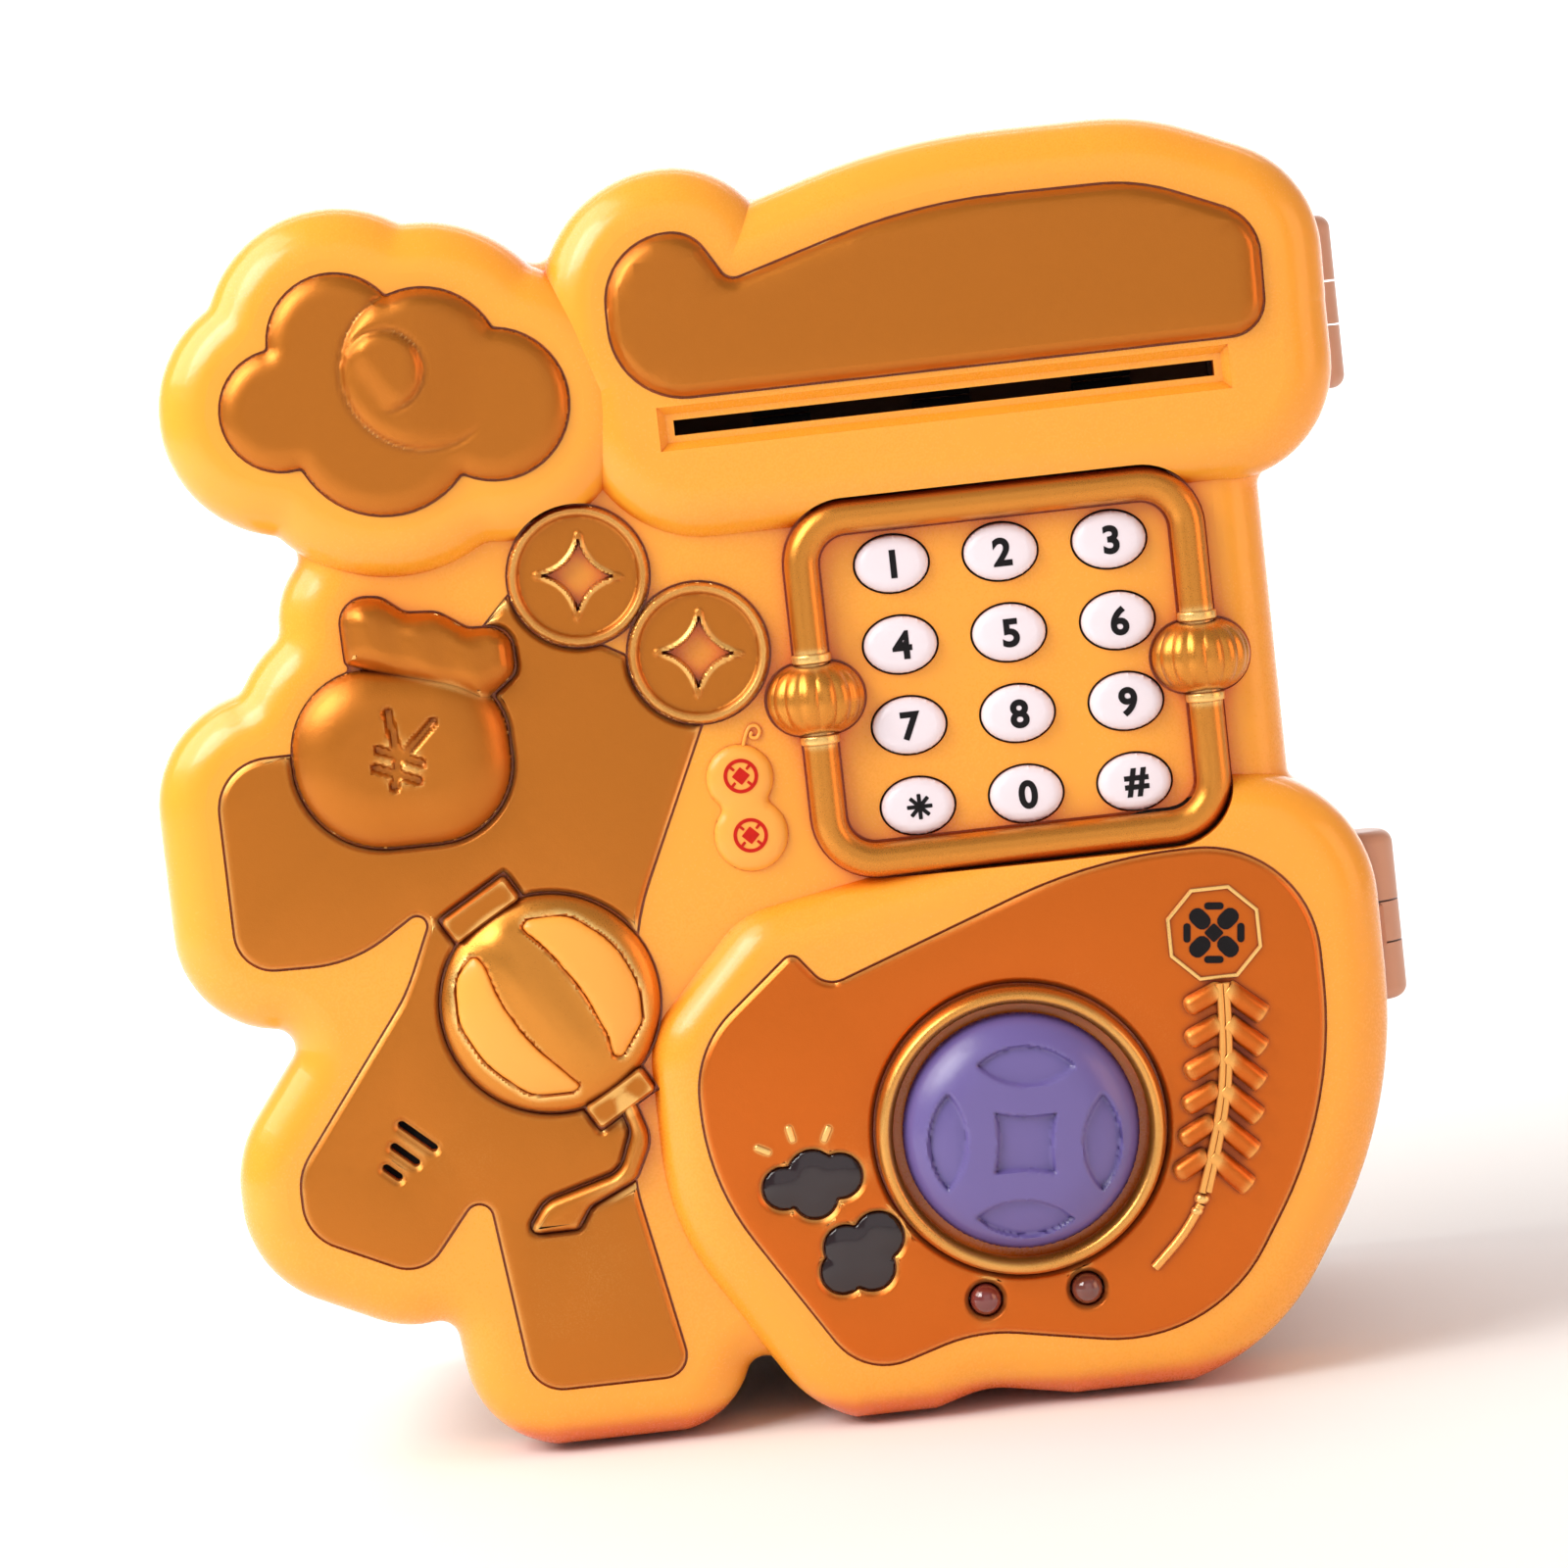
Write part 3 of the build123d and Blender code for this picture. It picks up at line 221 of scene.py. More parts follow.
nylon = moulded("white_nylon", colour(232, 230, 222), colour(190, 186, 174), rough=0.5)
silicone = moulded("silicone", colour(170, 172, 176), colour(130, 130, 136), rough=0.65)


# %% [markdown]
# The gold is paint: a metallic lacquer sprayed on plastic. Fine flakes break up its reflection. Shade
# is painted darker into corners and gaps, and a pale highlight is painted along convex edges, with
# random paler clouding. So it is part metal and part lacquer, with a soft roughness.

# %% Gold lacquer
def gold_lacquer(name, main, shade_colour, pale, metal=0.72, rough=0.36):
    paint = Paint(name)
    # painted shade: Ambient Occlusion darkens corners and gaps towards the shade colour and makes them less
    # metallic
    occlusion = paint.node("ShaderNodeAmbientOcclusion", {"samples": 8}, {"Distance": 0.0013}).out("AO")
    shade = 1 - paint.step(occlusion, 0.3, 0.97)
    clouds = paint.noise(34.0, 3.0)
    flakes = paint.noise(5200.0, 1.0)
    # painted highlight: inside Ambient Occlusion finds convex edges, which are painted pale all round; random
    # clouds and flakes add paler patches
    convex = paint.node("ShaderNodeAmbientOcclusion", {"samples": 8, "inside": True},
                        {"Distance": 0.0016}).out("AO")
    edge_highlight = 1 - paint.step(convex, 0.5, 0.93)
    pale_clouds_and_edge_highlight = paint.step(clouds * 0.6 + edge_highlight * 0.62 + (flakes - 0.5) * 0.3, 0.4, 0.95)
    painted = paint.blend(pale_clouds_and_edge_highlight, main, pale)
    paint.set(Base_Color=paint.blend(shade, painted, shade_colour),
              Metallic=metal - shade * 0.25,
              Roughness=rough + (flakes - 0.5) * 0.16 + (clouds - 0.5) * 0.10,
              Normal=paint.bump(flakes + paint.noise(500.0) * 1.5, 0.00002),
              Coat_Weight=0.12, Coat_Roughness=0.25)
    return paint.material


brown_gold = gold_lacquer("brown_gold", colour(190, 110, 26), colour(112, 42, 6), colour(240, 186, 104))
orange_gold = gold_lacquer("orange_gold", colour(206, 100, 15), colour(120, 34, 3), colour(242, 176, 92))
bright_gold = gold_lacquer("bright_gold", colour(212, 136, 50), colour(128, 50, 8), colour(248, 202, 122),
                           metal=0.8, rough=0.3)


# %% [markdown]
# Small parts: smoked windows, clear lamps, black and red print, rubber, steel and the parts inside.

# %% Other finishes
def metal(name, tint, rough, lines):
    paint = Paint(name)
    brushed = paint.noise(900.0, 2.0, stretch=lines)
    paint.set(Base_Color=paint.blend(brushed, tint, tuple(0.7 * v for v in tint[:3]) + (1.0,)),
              Metallic=1.0, Roughness=rough + (brushed - 0.5) * 0.2, Normal=paint.bump(brushed, 0.00001))
    return paint.material


def printed(name, ink, rough=0.45):
    paint = Paint(name)
    speck = paint.noise(1800.0, 2.0)
    paint.set(Base_Color=paint.blend(speck, ink, tuple(0.75 * v for v in ink[:3]) + (1.0,)),
              Roughness=rough + (speck - 0.5) * 0.2, Normal=paint.bump(speck, 0.00001),
              Specular_IOR_Level=0.2)
    return paint.material


def clear_lamp(name, tint):
    paint = Paint(name)
    swirl = paint.noise(300.0, 2.0)
    paint.set(Base_Color=paint.blend(swirl, tint, tuple(0.6 * v for v in tint[:3]) + (1.0,)),
              Roughness=0.05 + swirl * 0.06, Normal=paint.bump(swirl, 0.00001),
              Transmission_Weight=0.25, IOR=1.5, Coat_Weight=1.0, Coat_Roughness=0.03)
    return paint.material


steel = metal("steel", colour(196, 196, 200), 0.3, (1.0, 1.0, 0.05))
black_print = printed("black_print", colour(16, 12, 16))
red_print = printed("red_print", colour(206, 26, 10))
rubber = printed("black_rubber", colour(38, 38, 40), rough=0.8)
board_green = printed("green_board", colour(34, 110, 62))
cell_wrap = metal("battery_wrap", colour(92, 92, 100), 0.35, (0.05, 1.0, 1.0))
paper = printed("black_paper", colour(30, 30, 32), rough=0.9)
smoked = moulded("smoked_window", colour(34, 16, 22), colour(12, 3, 5), rough=0.14, peel=0.000004,
                 crease=0.003, Coat_Weight=0.35, Coat_Roughness=0.05)
red_lens = clear_lamp("red_lens", colour(150, 62, 58))
green_lens = clear_lamp("green_lens", colour(146, 74, 62))

FINISH_OF_SLOT = {
    "yellow_plastic": yellow, "beige_plastic": beige, "brown_gold": brown_gold, "orange_gold": orange_gold,
    "purple_plastic": purple, "white_key": key_white, "smoked_window": smoked, "red_lamp": red_lens,
    "green_lamp": green_lens, "steel": steel, "white_nylon": nylon, "black_rubber": rubber,
    "silicone": silicone, "green_board": board_green, "battery_wrap": cell_wrap, "black_paper": paper}
for part in frame["record"]["subparts"]:
    mesh = frame["nodes"][part["node"]].data
    mesh.materials.clear()
    mesh.materials.append(FINISH_OF_SLOT[part["material_slot"]])


# %% [markdown]
# ## Finishing a piece
# Every new piece ends the same way: stand it up, shade it smooth but keep its real edges sharp, give
# it its finish and let it ride on its CAD body. Two helpers join parts and turn curves into meshes.

# %% The last step of every piece
def finish(bm, name, material, body=DOOR, replaces=(), sharp=38):
    bmesh.ops.transform(bm, matrix=STAND_UP, verts=bm.verts)
    bmesh.ops.recalc_face_normals(bm, faces=bm.faces)
    mesh = bpy.data.meshes.new(name)
    bm.to_mesh(mesh)
    bm.free()
    mesh.shade_smooth()
    mesh.set_sharp_from_angle(angle=radians(sharp))
    mesh.materials.append(material)
    piece = bpy.data.objects.new(name, mesh)
    bpy.context.scene.collection.objects.link(piece)
    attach(piece, body)
    if replaces:
        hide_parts(*replaces)
    print(name, len(mesh.polygons), "faces")


def gather(whole, part):
    """Adds a part to a larger mesh and frees the part."""
    mesh = bpy.data.meshes.new("part")
    part.to_mesh(mesh)
    part.free()
    whole.from_mesh(mesh)


def mesh_of(curve):
    """A curve or a text as a mesh, with its doubled points merged."""
    holder = bpy.data.objects.new("line", curve)
    bpy.context.scene.collection.objects.link(holder)
    bpy.context.view_layer.update()
    mesh = bpy.data.meshes.new_from_object(holder)
    bpy.data.objects.remove(holder)
    bm = bmesh.new()
    bm.from_mesh(mesh)
    bmesh.ops.remove_doubles(bm, verts=bm.verts, dist=0.001)
    return bm


# %% [markdown]
# ## Outlines from the CAD
# A plate must fit its pocket, so its outline comes from its own CAD node: a copy of the mesh is
# laid flat and merged, and only the flat face at one level is kept.

# %% Trace one flat face of a node
def trace(node, level, facing=1):
    bm = bmesh.new()
    bm.from_mesh(frame["nodes"][node].data)
    bmesh.ops.transform(bm, matrix=LAY_FLAT, verts=bm.verts)
    bmesh.ops.remove_doubles(bm, verts=bm.verts, dist=0.002)
    away = [f for f in bm.faces if any(abs(v.co.z - level) > 0.02 for v in f.verts)]
    bmesh.ops.delete(bm, geom=away, context="FACES")
    loose = [v for v in bm.verts if not v.link_faces]
    bmesh.ops.delete(bm, geom=loose, context="VERTS")
    for v in bm.verts:
        v.co.z = 0
    bmesh.ops.recalc_face_normals(bm, faces=bm.faces)
    if bm.faces and bm.faces[0].normal.z * facing < 0:
        bmesh.ops.reverse_faces(bm, faces=bm.faces)
    return bm


def sheet(corners):
    """A flat face from corners (x, y, radius), each rounded by a vertex bevel."""
    bm = bmesh.new()
    verts = [bm.verts.new((x, y, 0)) for x, y, r in corners]
    face = bm.faces.new(verts)
    if face.normal.z < 0:
        face.normal_flip()
    face.normal_update()
    for i, (vert, (x, y, r)) in enumerate(zip(verts, corners)):
        if r == 0:
            continue
        back = (Vector(corners[i - 1][:2]) - Vector((x, y))).normalized()
        ahead = (Vector(corners[(i + 1) % len(corners)][:2]) - Vector((x, y))).normalized()
        half = back.angle(ahead) / 2
        bmesh.ops.bevel(bm, geom=[vert], offset=r * cos(half) / sin(half), offset_type="OFFSET",
                        affect="VERTICES", segments=max(3, int(r * (pi - 2 * half) / 0.7)), profile=0.5,
                        material=-1, clamp_overlap=False)
    bm.normal_update()
    if bm.faces[:][0].normal.z < 0:
        bmesh.ops.reverse_faces(bm, faces=bm.faces[:])
    return bm


def round_sheet(x, y, r, segments=64):
    bm = bmesh.new()
    bmesh.ops.create_circle(bm, cap_ends=True, segments=segments, radius=r,
                            matrix=Matrix.Translation((x, y, 0)))
    if bm.faces[:][0].normal.z < 0:
        bmesh.ops.reverse_faces(bm, faces=bm.faces[:])
    return bm


# %% [markdown]
# ## Pillows
# Most of the relief is a pillow: a flat outline that swells from its edge. The edge is inset a few
# times in small steps, so that it can round over smoothly, a grid is cut across the middle, and then
# each point rises by its distance from the edge. Its rim is extruded down into the pocket.

# %% Rings, grid and height
def rings(bm, steps):
    inside = bm.faces[:]
    for width in steps:
        bmesh.ops.inset_region(bm, faces=inside, thickness=width, depth=0, use_boundary=True,
                               use_even_offset=False)


def cut_grid(bm, pitch):
    for axis in (0, 1):
        low = min(v.co[axis] for v in bm.verts)
        high = max(v.co[axis] for v in bm.verts)
        count = int((high - low) / pitch)
        normal = Vector((1, 0, 0)) if axis == 0 else Vector((0, 1, 0))
        for i in range(1, count + 1):
            place = normal * (low + (high - low) * (i - 0.37) / count)
            bmesh.ops.bisect_plane(bm, geom=bm.verts[:] + bm.edges[:] + bm.faces[:], dist=0.0005,
                                   plane_co=place, plane_no=normal)


def edge_tree(bm, pitch=0.3):
    """A search tree of points along the outline, to ask how far a point is from the edge."""
    points = []
    for edge in bm.edges:
        if edge.is_boundary:
            a, b = (v.co for v in edge.verts)
            count = max(1, int((b - a).length / pitch))
            points += [a.lerp(b, i / count) for i in range(count)]
    tree = KDTree(len(points))
    for i, point in enumerate(points):
        tree.insert(point, i)
    tree.balance()
    return tree


def swell(distance, height, radius):
    """Height at a distance from the edge: a quarter ellipse that levels out at the radius."""
    t = min(1.0, distance / radius)
    return height * sqrt(max(0.0, 1 - (1 - t) ** 2))


def skirt(bm, depth):
    """Extrudes the rim down, so that the piece closes into its pocket."""
    rim = [e for e in bm.edges if e.is_boundary]
    made = bmesh.ops.extrude_edge_only(bm, edges=rim)
    low = [v for v in made["geom"] if isinstance(v, bmesh.types.BMVert)]
    bmesh.ops.translate(bm, verts=low, vec=(0, 0, -depth))


def pillow(bm, base, height, radius, pitch=1.4, steps=(0.12, 0.3, 0.6, 0.9), depth=1.0, shape=None):
    tree = edge_tree(bm)
    rings(bm, steps)
    if pitch:
        cut_grid(bm, pitch)
    for v in bm.verts:
        distance = tree.find(Vector((v.co.x, v.co.y, 0)))[2]
        v.co.z = base + (shape(v.co.x, v.co.y, distance) if shape else swell(distance, height, radius))
    skirt(bm, depth)
    return bm


def smooth_step(value, low, high):
    t = min(1.0, max(0.0, (value - low) / (high - low)))
    return t * t * (3 - 2 * t)


def along(x, y, a, b):
    """Distance of a point from the line between a and b, and how far along it the point is."""
    ax, ay = a
    dx, dy = b[0] - ax, b[1] - ay
    t = min(1.0, max(0.0, ((x - ax) * dx + (y - ay) * dy) / (dx * dx + dy * dy)))
    return hypot(x - ax - t * dx, y - ay - t * dy), t


# %% [markdown]
# ## Flat plates
# The two large plates on the door are flat, with an edge bevelled over about a millimetre. That
# narrow bevel catches the light all the way round, so it matters more than the flat. The CAD face
# comes with its holes, and an inset of the whole region bevels their edges too.

# %% The left plate and the plate under the knob
PLATE_PROUD = 0.8    # height of a plate over the field it lies in
PLATE_RISE = 0.9     # height of its bevel


def bevelled(distance, height):
    """A soft 45-degree bevel: height rises with distance from the edge, then levels out."""
    rest = height - 0.12 - distance
    return height - (rest + sqrt(rest * rest + 0.02)) / 2


def flat_plate(node, level, material):
    bm = pillow(trace(node, level), level - PLATE_RISE, 0, 0, pitch=0,
                steps=(0.12, 0.18, 0.25, 0.25, 0.3), depth=0.8,
                shape=lambda x, y, distance: bevelled(distance, PLATE_RISE))
    finish(bm, node + "_relief", material, replaces=(node,), sharp=50)


flat_plate("left_plate", LOWER + PLATE_PROUD, brown_gold)
flat_plate("apple_plate", UPPER + PLATE_PROUD, orange_gold)

# %% [markdown]
# ## The slot plaque
# The long plaque above the bill slot is a shallow pillow that rises from a narrow bevel.

# %% Slot plaque
bm = trace("slot_plaque", UPPER - 1.0, facing=-1)
bmesh.ops.dissolve_limit(bm, angle_limit=0.01, verts=bm.verts, edges=bm.edges)
pillow(bm, UPPER - 0.1, 0, 0, pitch=3.0, depth=0.9,
       shape=lambda x, y, distance: bevelled(distance, 1.5) + swell(distance, 0.9, 5.0))
finish(bm, "slot_plaque_pillow", brown_gold, replaces=("slot_plaque",))

# %% [markdown]
# ## The cloud
# The cloud is a pillow with a lobed outline. On it lies a round puff that dies away towards the lower
# right, and on the puff a smaller curl, whose edge runs round as a short spiral.
# Both are only changes of height, so they go into the pillow's own shape.

# %% Cloud plaque
PUFF = (-46.5, 170.9, 12.3)
CURL = (-52.3, 171.2, 5.9)


def sloping_disc(x, y, disc, fall, height, radius, low, high):
    """A round pad with an edge on one side, which sinks into the surface towards the other."""
    dx, dy = x - disc[0], y - disc[1]
    side = -(dx * cos(radians(fall)) + dy * sin(radians(fall))) / disc[2]
    edge = disc[2] - hypot(dx, dy)
    crease = 0.45 * smooth_step(edge, -1.1, -0.2) * (1 - smooth_step(edge, -0.2, 0.15))
    return (smooth_step(side, low, high) * swell(max(0.0, edge), height, radius)
            - smooth_step(side, low - 0.1, low + 0.4) * crease)


def cloud_height(x, y, distance):
    height = swell(distance, 2.3, 4.0)
    near_edge = min(1.0, distance / 1.6)
    height += near_edge * sloping_disc(x, y, PUFF, -8, 1.6, 3.4, -0.85, 0.25)
    height += sloping_disc(x, y, CURL, 212, 1.1, 2.4, -0.75, 0.0)
    return height


bm = trace("cloud_plaque", UPPER - 1.0, facing=-1)
bmesh.ops.dissolve_limit(bm, angle_limit=0.01, verts=bm.verts, edges=bm.edges)
pillow(bm, UPPER - 0.1, 0, 0, pitch=0.55, shape=cloud_height, depth=0.9)
finish(bm, "cloud_pillow", brown_gold, replaces=("cloud_plaque",))

# %% [markdown]
# ## The money bag
# Below its gathered tuft, the bag is round and full. Its currency sign is pressed in: strokes with
# round ends, each a dip in the height.

# %% Bag and tuft
BAG = ((-74, 127, 13), (-40.2, 123, 11.5), (-40, 97, 12.5), (-74, 97.4, 14))
TUFT = ((-64.2, 137, 4), (-57.5, 136.2, 3), (-54, 133.4, 3), (-49, 133, 4), (-44.5, 129.9, 3),
        (-38, 129.6, 3.6), (-37.9, 122.4, 2.5), (-43.5, 118.2, 1), (-64, 126.5, 1))
SIGN = (((-58.2, 118.6), (-57.3, 112.2)), ((-51.4, 116.4), (-56.0, 112.0)), ((-57.0, 112.4), (-58.4, 106.9)),
        ((-60.2, 112.9), (-53.8, 110.2)), ((-61.0, 110.2), (-54.6, 107.6)))


def bag_height(x, y, distance):
    height = swell(distance, 5.2, 9.5)
    stroke = min(along(x, y, a, b)[0] for a, b in SIGN)
    return height - 1.0 * (1 - smooth_step(stroke, 0.5, 0.95))


def tuft_height(x, y, distance):
    fold = 0.35 * cos((x + 0.25 * y) * 0.95) * smooth_step(distance, 0.3, 3)
    neck = smooth_step(along(x, y, (-63, 125.5), (-43, 119.0))[0], 0, 3.5)
    return swell(distance, 4.0, 4.2) * (0.75 + 0.25 * neck) + fold * 0.5


bag = pillow(sheet(BAG), LOWER - 0.3, 0, 0, pitch=0.42, shape=bag_height, depth=0.6)
tuft = pillow(sheet(TUFT), LOWER + 0.3, 0, 0, pitch=0.8, shape=tuft_height, depth=1.2)
finish(bag, "money_bag_body", brown_gold, replaces=("money_bag",))
finish(tuft, "money_bag_tuft", brown_gold)

# %% [markdown]
# ## The coins
# Each coin has a raised rim, a sunk field and a hole with four bowed sides, edged by a thin lip. Each
# coin is a round sheet with rings inset at its edge; its height sinks the hole and raises the lip and the
# rim.

# %% Coin medallions
COINS = ((-26.5, 136.2), (-9.2, 122.2))
COIN_R = 11.0
HOLE = 5.9           # about the reach of a corner of the hole from its middle
HOLE_BOW = 7.0       # radius of the arcs that bow its sides in
HOLE_DIP = 1.35      # how far the arcs come inside the line from corner to corner
HOLE_TURN = radians(-7)
BOW_AT = HOLE / 2 - HOLE_DIP / sqrt(2) + HOLE_BOW / sqrt(2)


def hole_depth(x, y):
    """How far a point lies inside the coin's four-sided hole; negative outside it."""
    u = abs(x * cos(HOLE_TURN) + y * sin(HOLE_TURN))
    v = abs(-x * sin(HOLE_TURN) + y * cos(HOLE_TURN))
    return min(hypot(u - BOW_AT, v - BOW_AT) - HOLE_BOW, HOLE - u - v + 0.6)


def coin_height(x, y, distance):
    near = min(COINS, key=lambda coin: hypot(x - coin[0], y - coin[1]))
    bow = hole_depth(x - near[0], y - near[1])
    rim = smooth_step(distance, 0.0, 0.5) * (1 - smooth_step(distance, 1.1, 1.9))
    lip = smooth_step(bow, -0.75, -0.4) * (1 - smooth_step(bow, -0.1, 0.1))
    pit = smooth_step(bow, 0.0, 0.25)
    return 0.9 + 1.0 * rim + 0.35 * lip - 2.6 * pit


coins = bmesh.new()
for x, y in COINS:
    gather(coins, pillow(round_sheet(x, y, COIN_R, 96), LOWER - 0.1, 0, 0, pitch=0.3,
                         steps=(0.1, 0.2, 0.25, 0.3, 0.35, 0.4), shape=coin_height, depth=0.8))
finish(coins, "coins", brown_gold, replaces=("coin_medallions",))

# %% [markdown]
# ## The lantern
# A paper lantern, tilted to the left, with its caps and a wavy tassel. The round body is a dome.
# Two curved yellow panels sit in it, parted by a bulging gold rib.

# %% Lantern body, caps and tassel
LANTERN = Vector((-38.4, 70.1))
LANTERN_R = 17.2
LANTERN_TILT = 30
LANTERN_DOME = 4.6
CAP_AT = 18.4
LEFT_PANEL = ((-49.3, 79.9, 1.3), (-47.6, 77.5, 3), (-45.9, 71.8, 20), (-42.2, 65.1, 25), (-34.6, 57.0, 0.8),
              (-36, 55.9, 0.8), (-43, 55.9, 5), (-49.5, 61.5, 12), (-53.3, 68.5, 8), (-53, 76, 5))
RIGHT_PANEL = ((-42, 82.7, 1), (-40.6, 84.2, 1.2), (-34, 84.3, 6), (-27, 78.8, 12), (-23.9, 71.5, 10),
               (-24.1, 66, 2), (-27.9, 60.5, 1), (-29.7, 60.9, 0.8), (-30.2, 64.5, 5), (-33.2, 71.8, 25),
               (-38, 78.9, 25))
TASSEL = ((-30.2, 55, 0), (-27.6, 55, 0), (-25.2, 47, 5), (-28.2, 41, 2.5), (-36, 37.5, 3),
          (-38.2, 34.2, 1), (-46.2, 34.2, 1), (-42.8, 38.9, 4), (-30.5, 42.3, 4), (-28, 48.5, 3))


def panel_tree(corners):
    bm = sheet(corners)
    tree = edge_tree(bm)
    face = [Vector((v.co.x, v.co.y)) for v in bm.faces[:][0].verts]
    bm.free()
    return tree, face


def inside(face, x, y):
    found = False
    for a, b in zip(face, face[1:] + face[:1]):
        if (a.y > y) != (b.y > y) and x < (b.x - a.x) * (y - a.y) / (b.y - a.y) + a.x:
            found = not found
    return found


panels = [panel_tree(LEFT_PANEL), panel_tree(RIGHT_PANEL)]


def lantern_dome(x, y):
    reach = hypot(x - LANTERN.x, y - LANTERN.y) / LANTERN_R
    return LANTERN_DOME * sqrt(max(0.0, 1 - reach ** 2.6))


def lantern_height(x, y, distance):
    height = lantern_dome(x, y)
    across = (x - LANTERN.x) * cos(radians(LANTERN_TILT)) + (y - LANTERN.y) * sin(radians(LANTERN_TILT))
    height += 0.5 * (1 - smooth_step(abs(across + 0.6), 0.5, 5.0)) * smooth_step(distance, 0, 4)
    for tree, face in panels:
        gap = tree.find(Vector((x, y, 0)))[2]
        if inside(face, x, y):
            height -= 0.8 * smooth_step(gap, 0.0, 0.35)
    return height


body = pillow(round_sheet(*LANTERN, LANTERN_R, 128), LOWER + 0.1, 0, 0, pitch=0.42,
              shape=lantern_height, depth=1.0)
finish(body, "lantern_body", bright_gold, replaces=("lantern",))


def panel_height(x, y, distance):
    return lantern_dome(x, y) - 0.75 + swell(distance, 0.75, 1.1)


for name, corners in (("lantern_panel_left", LEFT_PANEL), ("lantern_panel_right", RIGHT_PANEL)):
    bm = sheet(corners)
    bmesh.ops.inset_region(bm, faces=bm.faces[:], thickness=0.3, depth=0, use_boundary=True,
                           use_even_offset=False)
    rim = [f for f in bm.faces if any(e.is_boundary for e in f.edges)]
    bmesh.ops.delete(bm, geom=rim, context="FACES")
    pillow(bm, LOWER + 0.1, 0, 0, pitch=1.0, steps=(0.1, 0.2, 0.25), shape=panel_height, depth=0.8)
    finish(bm, name, badge_yellow)


def turned_sheet(x, y, width, height, angle, r):
    bm = sheet(((-width / 2, -height / 2, r), (width / 2, -height / 2, r),
                (width / 2, height / 2, r), (-width / 2, height / 2, r)))
    bmesh.ops.transform(bm, matrix=Matrix.Translation((x, y, 0)) @ Matrix.Rotation(radians(angle), 4, "Z"),
                        verts=bm.verts)
    return bm


axis = Vector((-sin(radians(LANTERN_TILT)), cos(radians(LANTERN_TILT))))
for name, reach, width in (("lantern_cap_top", CAP_AT, 12.4), ("lantern_cap_bottom", -CAP_AT, 11.0)):
    middle = LANTERN + axis * reach
    cap = pillow(turned_sheet(middle.x, middle.y, width, 4.6, LANTERN_TILT, 0.9), LOWER + 0.4, 2.1, 0.7,
                 pitch=0, steps=(0.1, 0.2, 0.3), depth=1.2)
    finish(cap, name, brown_gold)
tassel = pillow(sheet(TASSEL), LOWER + 0.3, 1.9, 1.2, pitch=0, steps=(0.1, 0.25, 0.35, 0.4), depth=1.1)
finish(tassel, "lantern_tassel", brown_gold)

# %% [markdown]
# ## The keypad's frame
# A round gold tube goes round the keys. A ring of points is carried up each side by extruding and
# round each corner by a quarter spin, until it meets itself. Two ribbed beads with collars sit on it.

# %% Tube, beads and collars
KEYPAD = Vector((38.35, 113.9))
FRAME_SIZE = (65.7, 59.2)
FRAME_CORNER = 10.0
TUBE_R = 2.65
TUBE_OUT = LOWER + 1.75
frame_tube = bmesh.new()
half_w, half_h = FRAME_SIZE[0] / 2, FRAME_SIZE[1] / 2
start = Vector((KEYPAD.x + half_w - TUBE_R, KEYPAD.y - half_h + FRAME_CORNER, TUBE_OUT))
ring = bmesh.ops.create_circle(frame_tube, segments=28, radius=TUBE_R,
                               matrix=Matrix.Translation(start) @ Matrix.Rotation(radians(90), 4, "X"))
geom = ring["verts"] + frame_tube.edges[:]
for side in range(4):
    turn = Matrix.Rotation(radians(90 * side), 4, "Z")
    length = FRAME_SIZE[(side + 1) % 2] - 2 * FRAME_CORNER
    edges = [g for g in geom if isinstance(g, bmesh.types.BMEdge)]
    made = bmesh.ops.extrude_edge_only(frame_tube, edges=edges)["geom"]
    bmesh.ops.translate(frame_tube, verts=[g for g in made if isinstance(g, bmesh.types.BMVert)],
                        vec=turn @ Vector((0, length, 0)))
    geom = [g for g in made if not isinstance(g, bmesh.types.BMFace)]
    corner = Vector(((half_w - FRAME_CORNER) * (1 if side in (0, 3) else -1),
                     (half_h - FRAME_CORNER) * (1 if side in (0, 1) else -1), 0))
    last = bmesh.ops.spin(frame_tube, geom=geom, cent=Vector((*KEYPAD, 0)) + corner, axis=(0, 0, 1),
                          angle=radians(90), steps=12)["geom_last"]
    geom = [g for g in last if not isinstance(g, bmesh.types.BMFace)]
bmesh.ops.remove_doubles(frame_tube, verts=frame_tube.verts, dist=0.01)
finish(frame_tube, "keypad_frame_tube", bright_gold, replaces=("keypad_frame",))

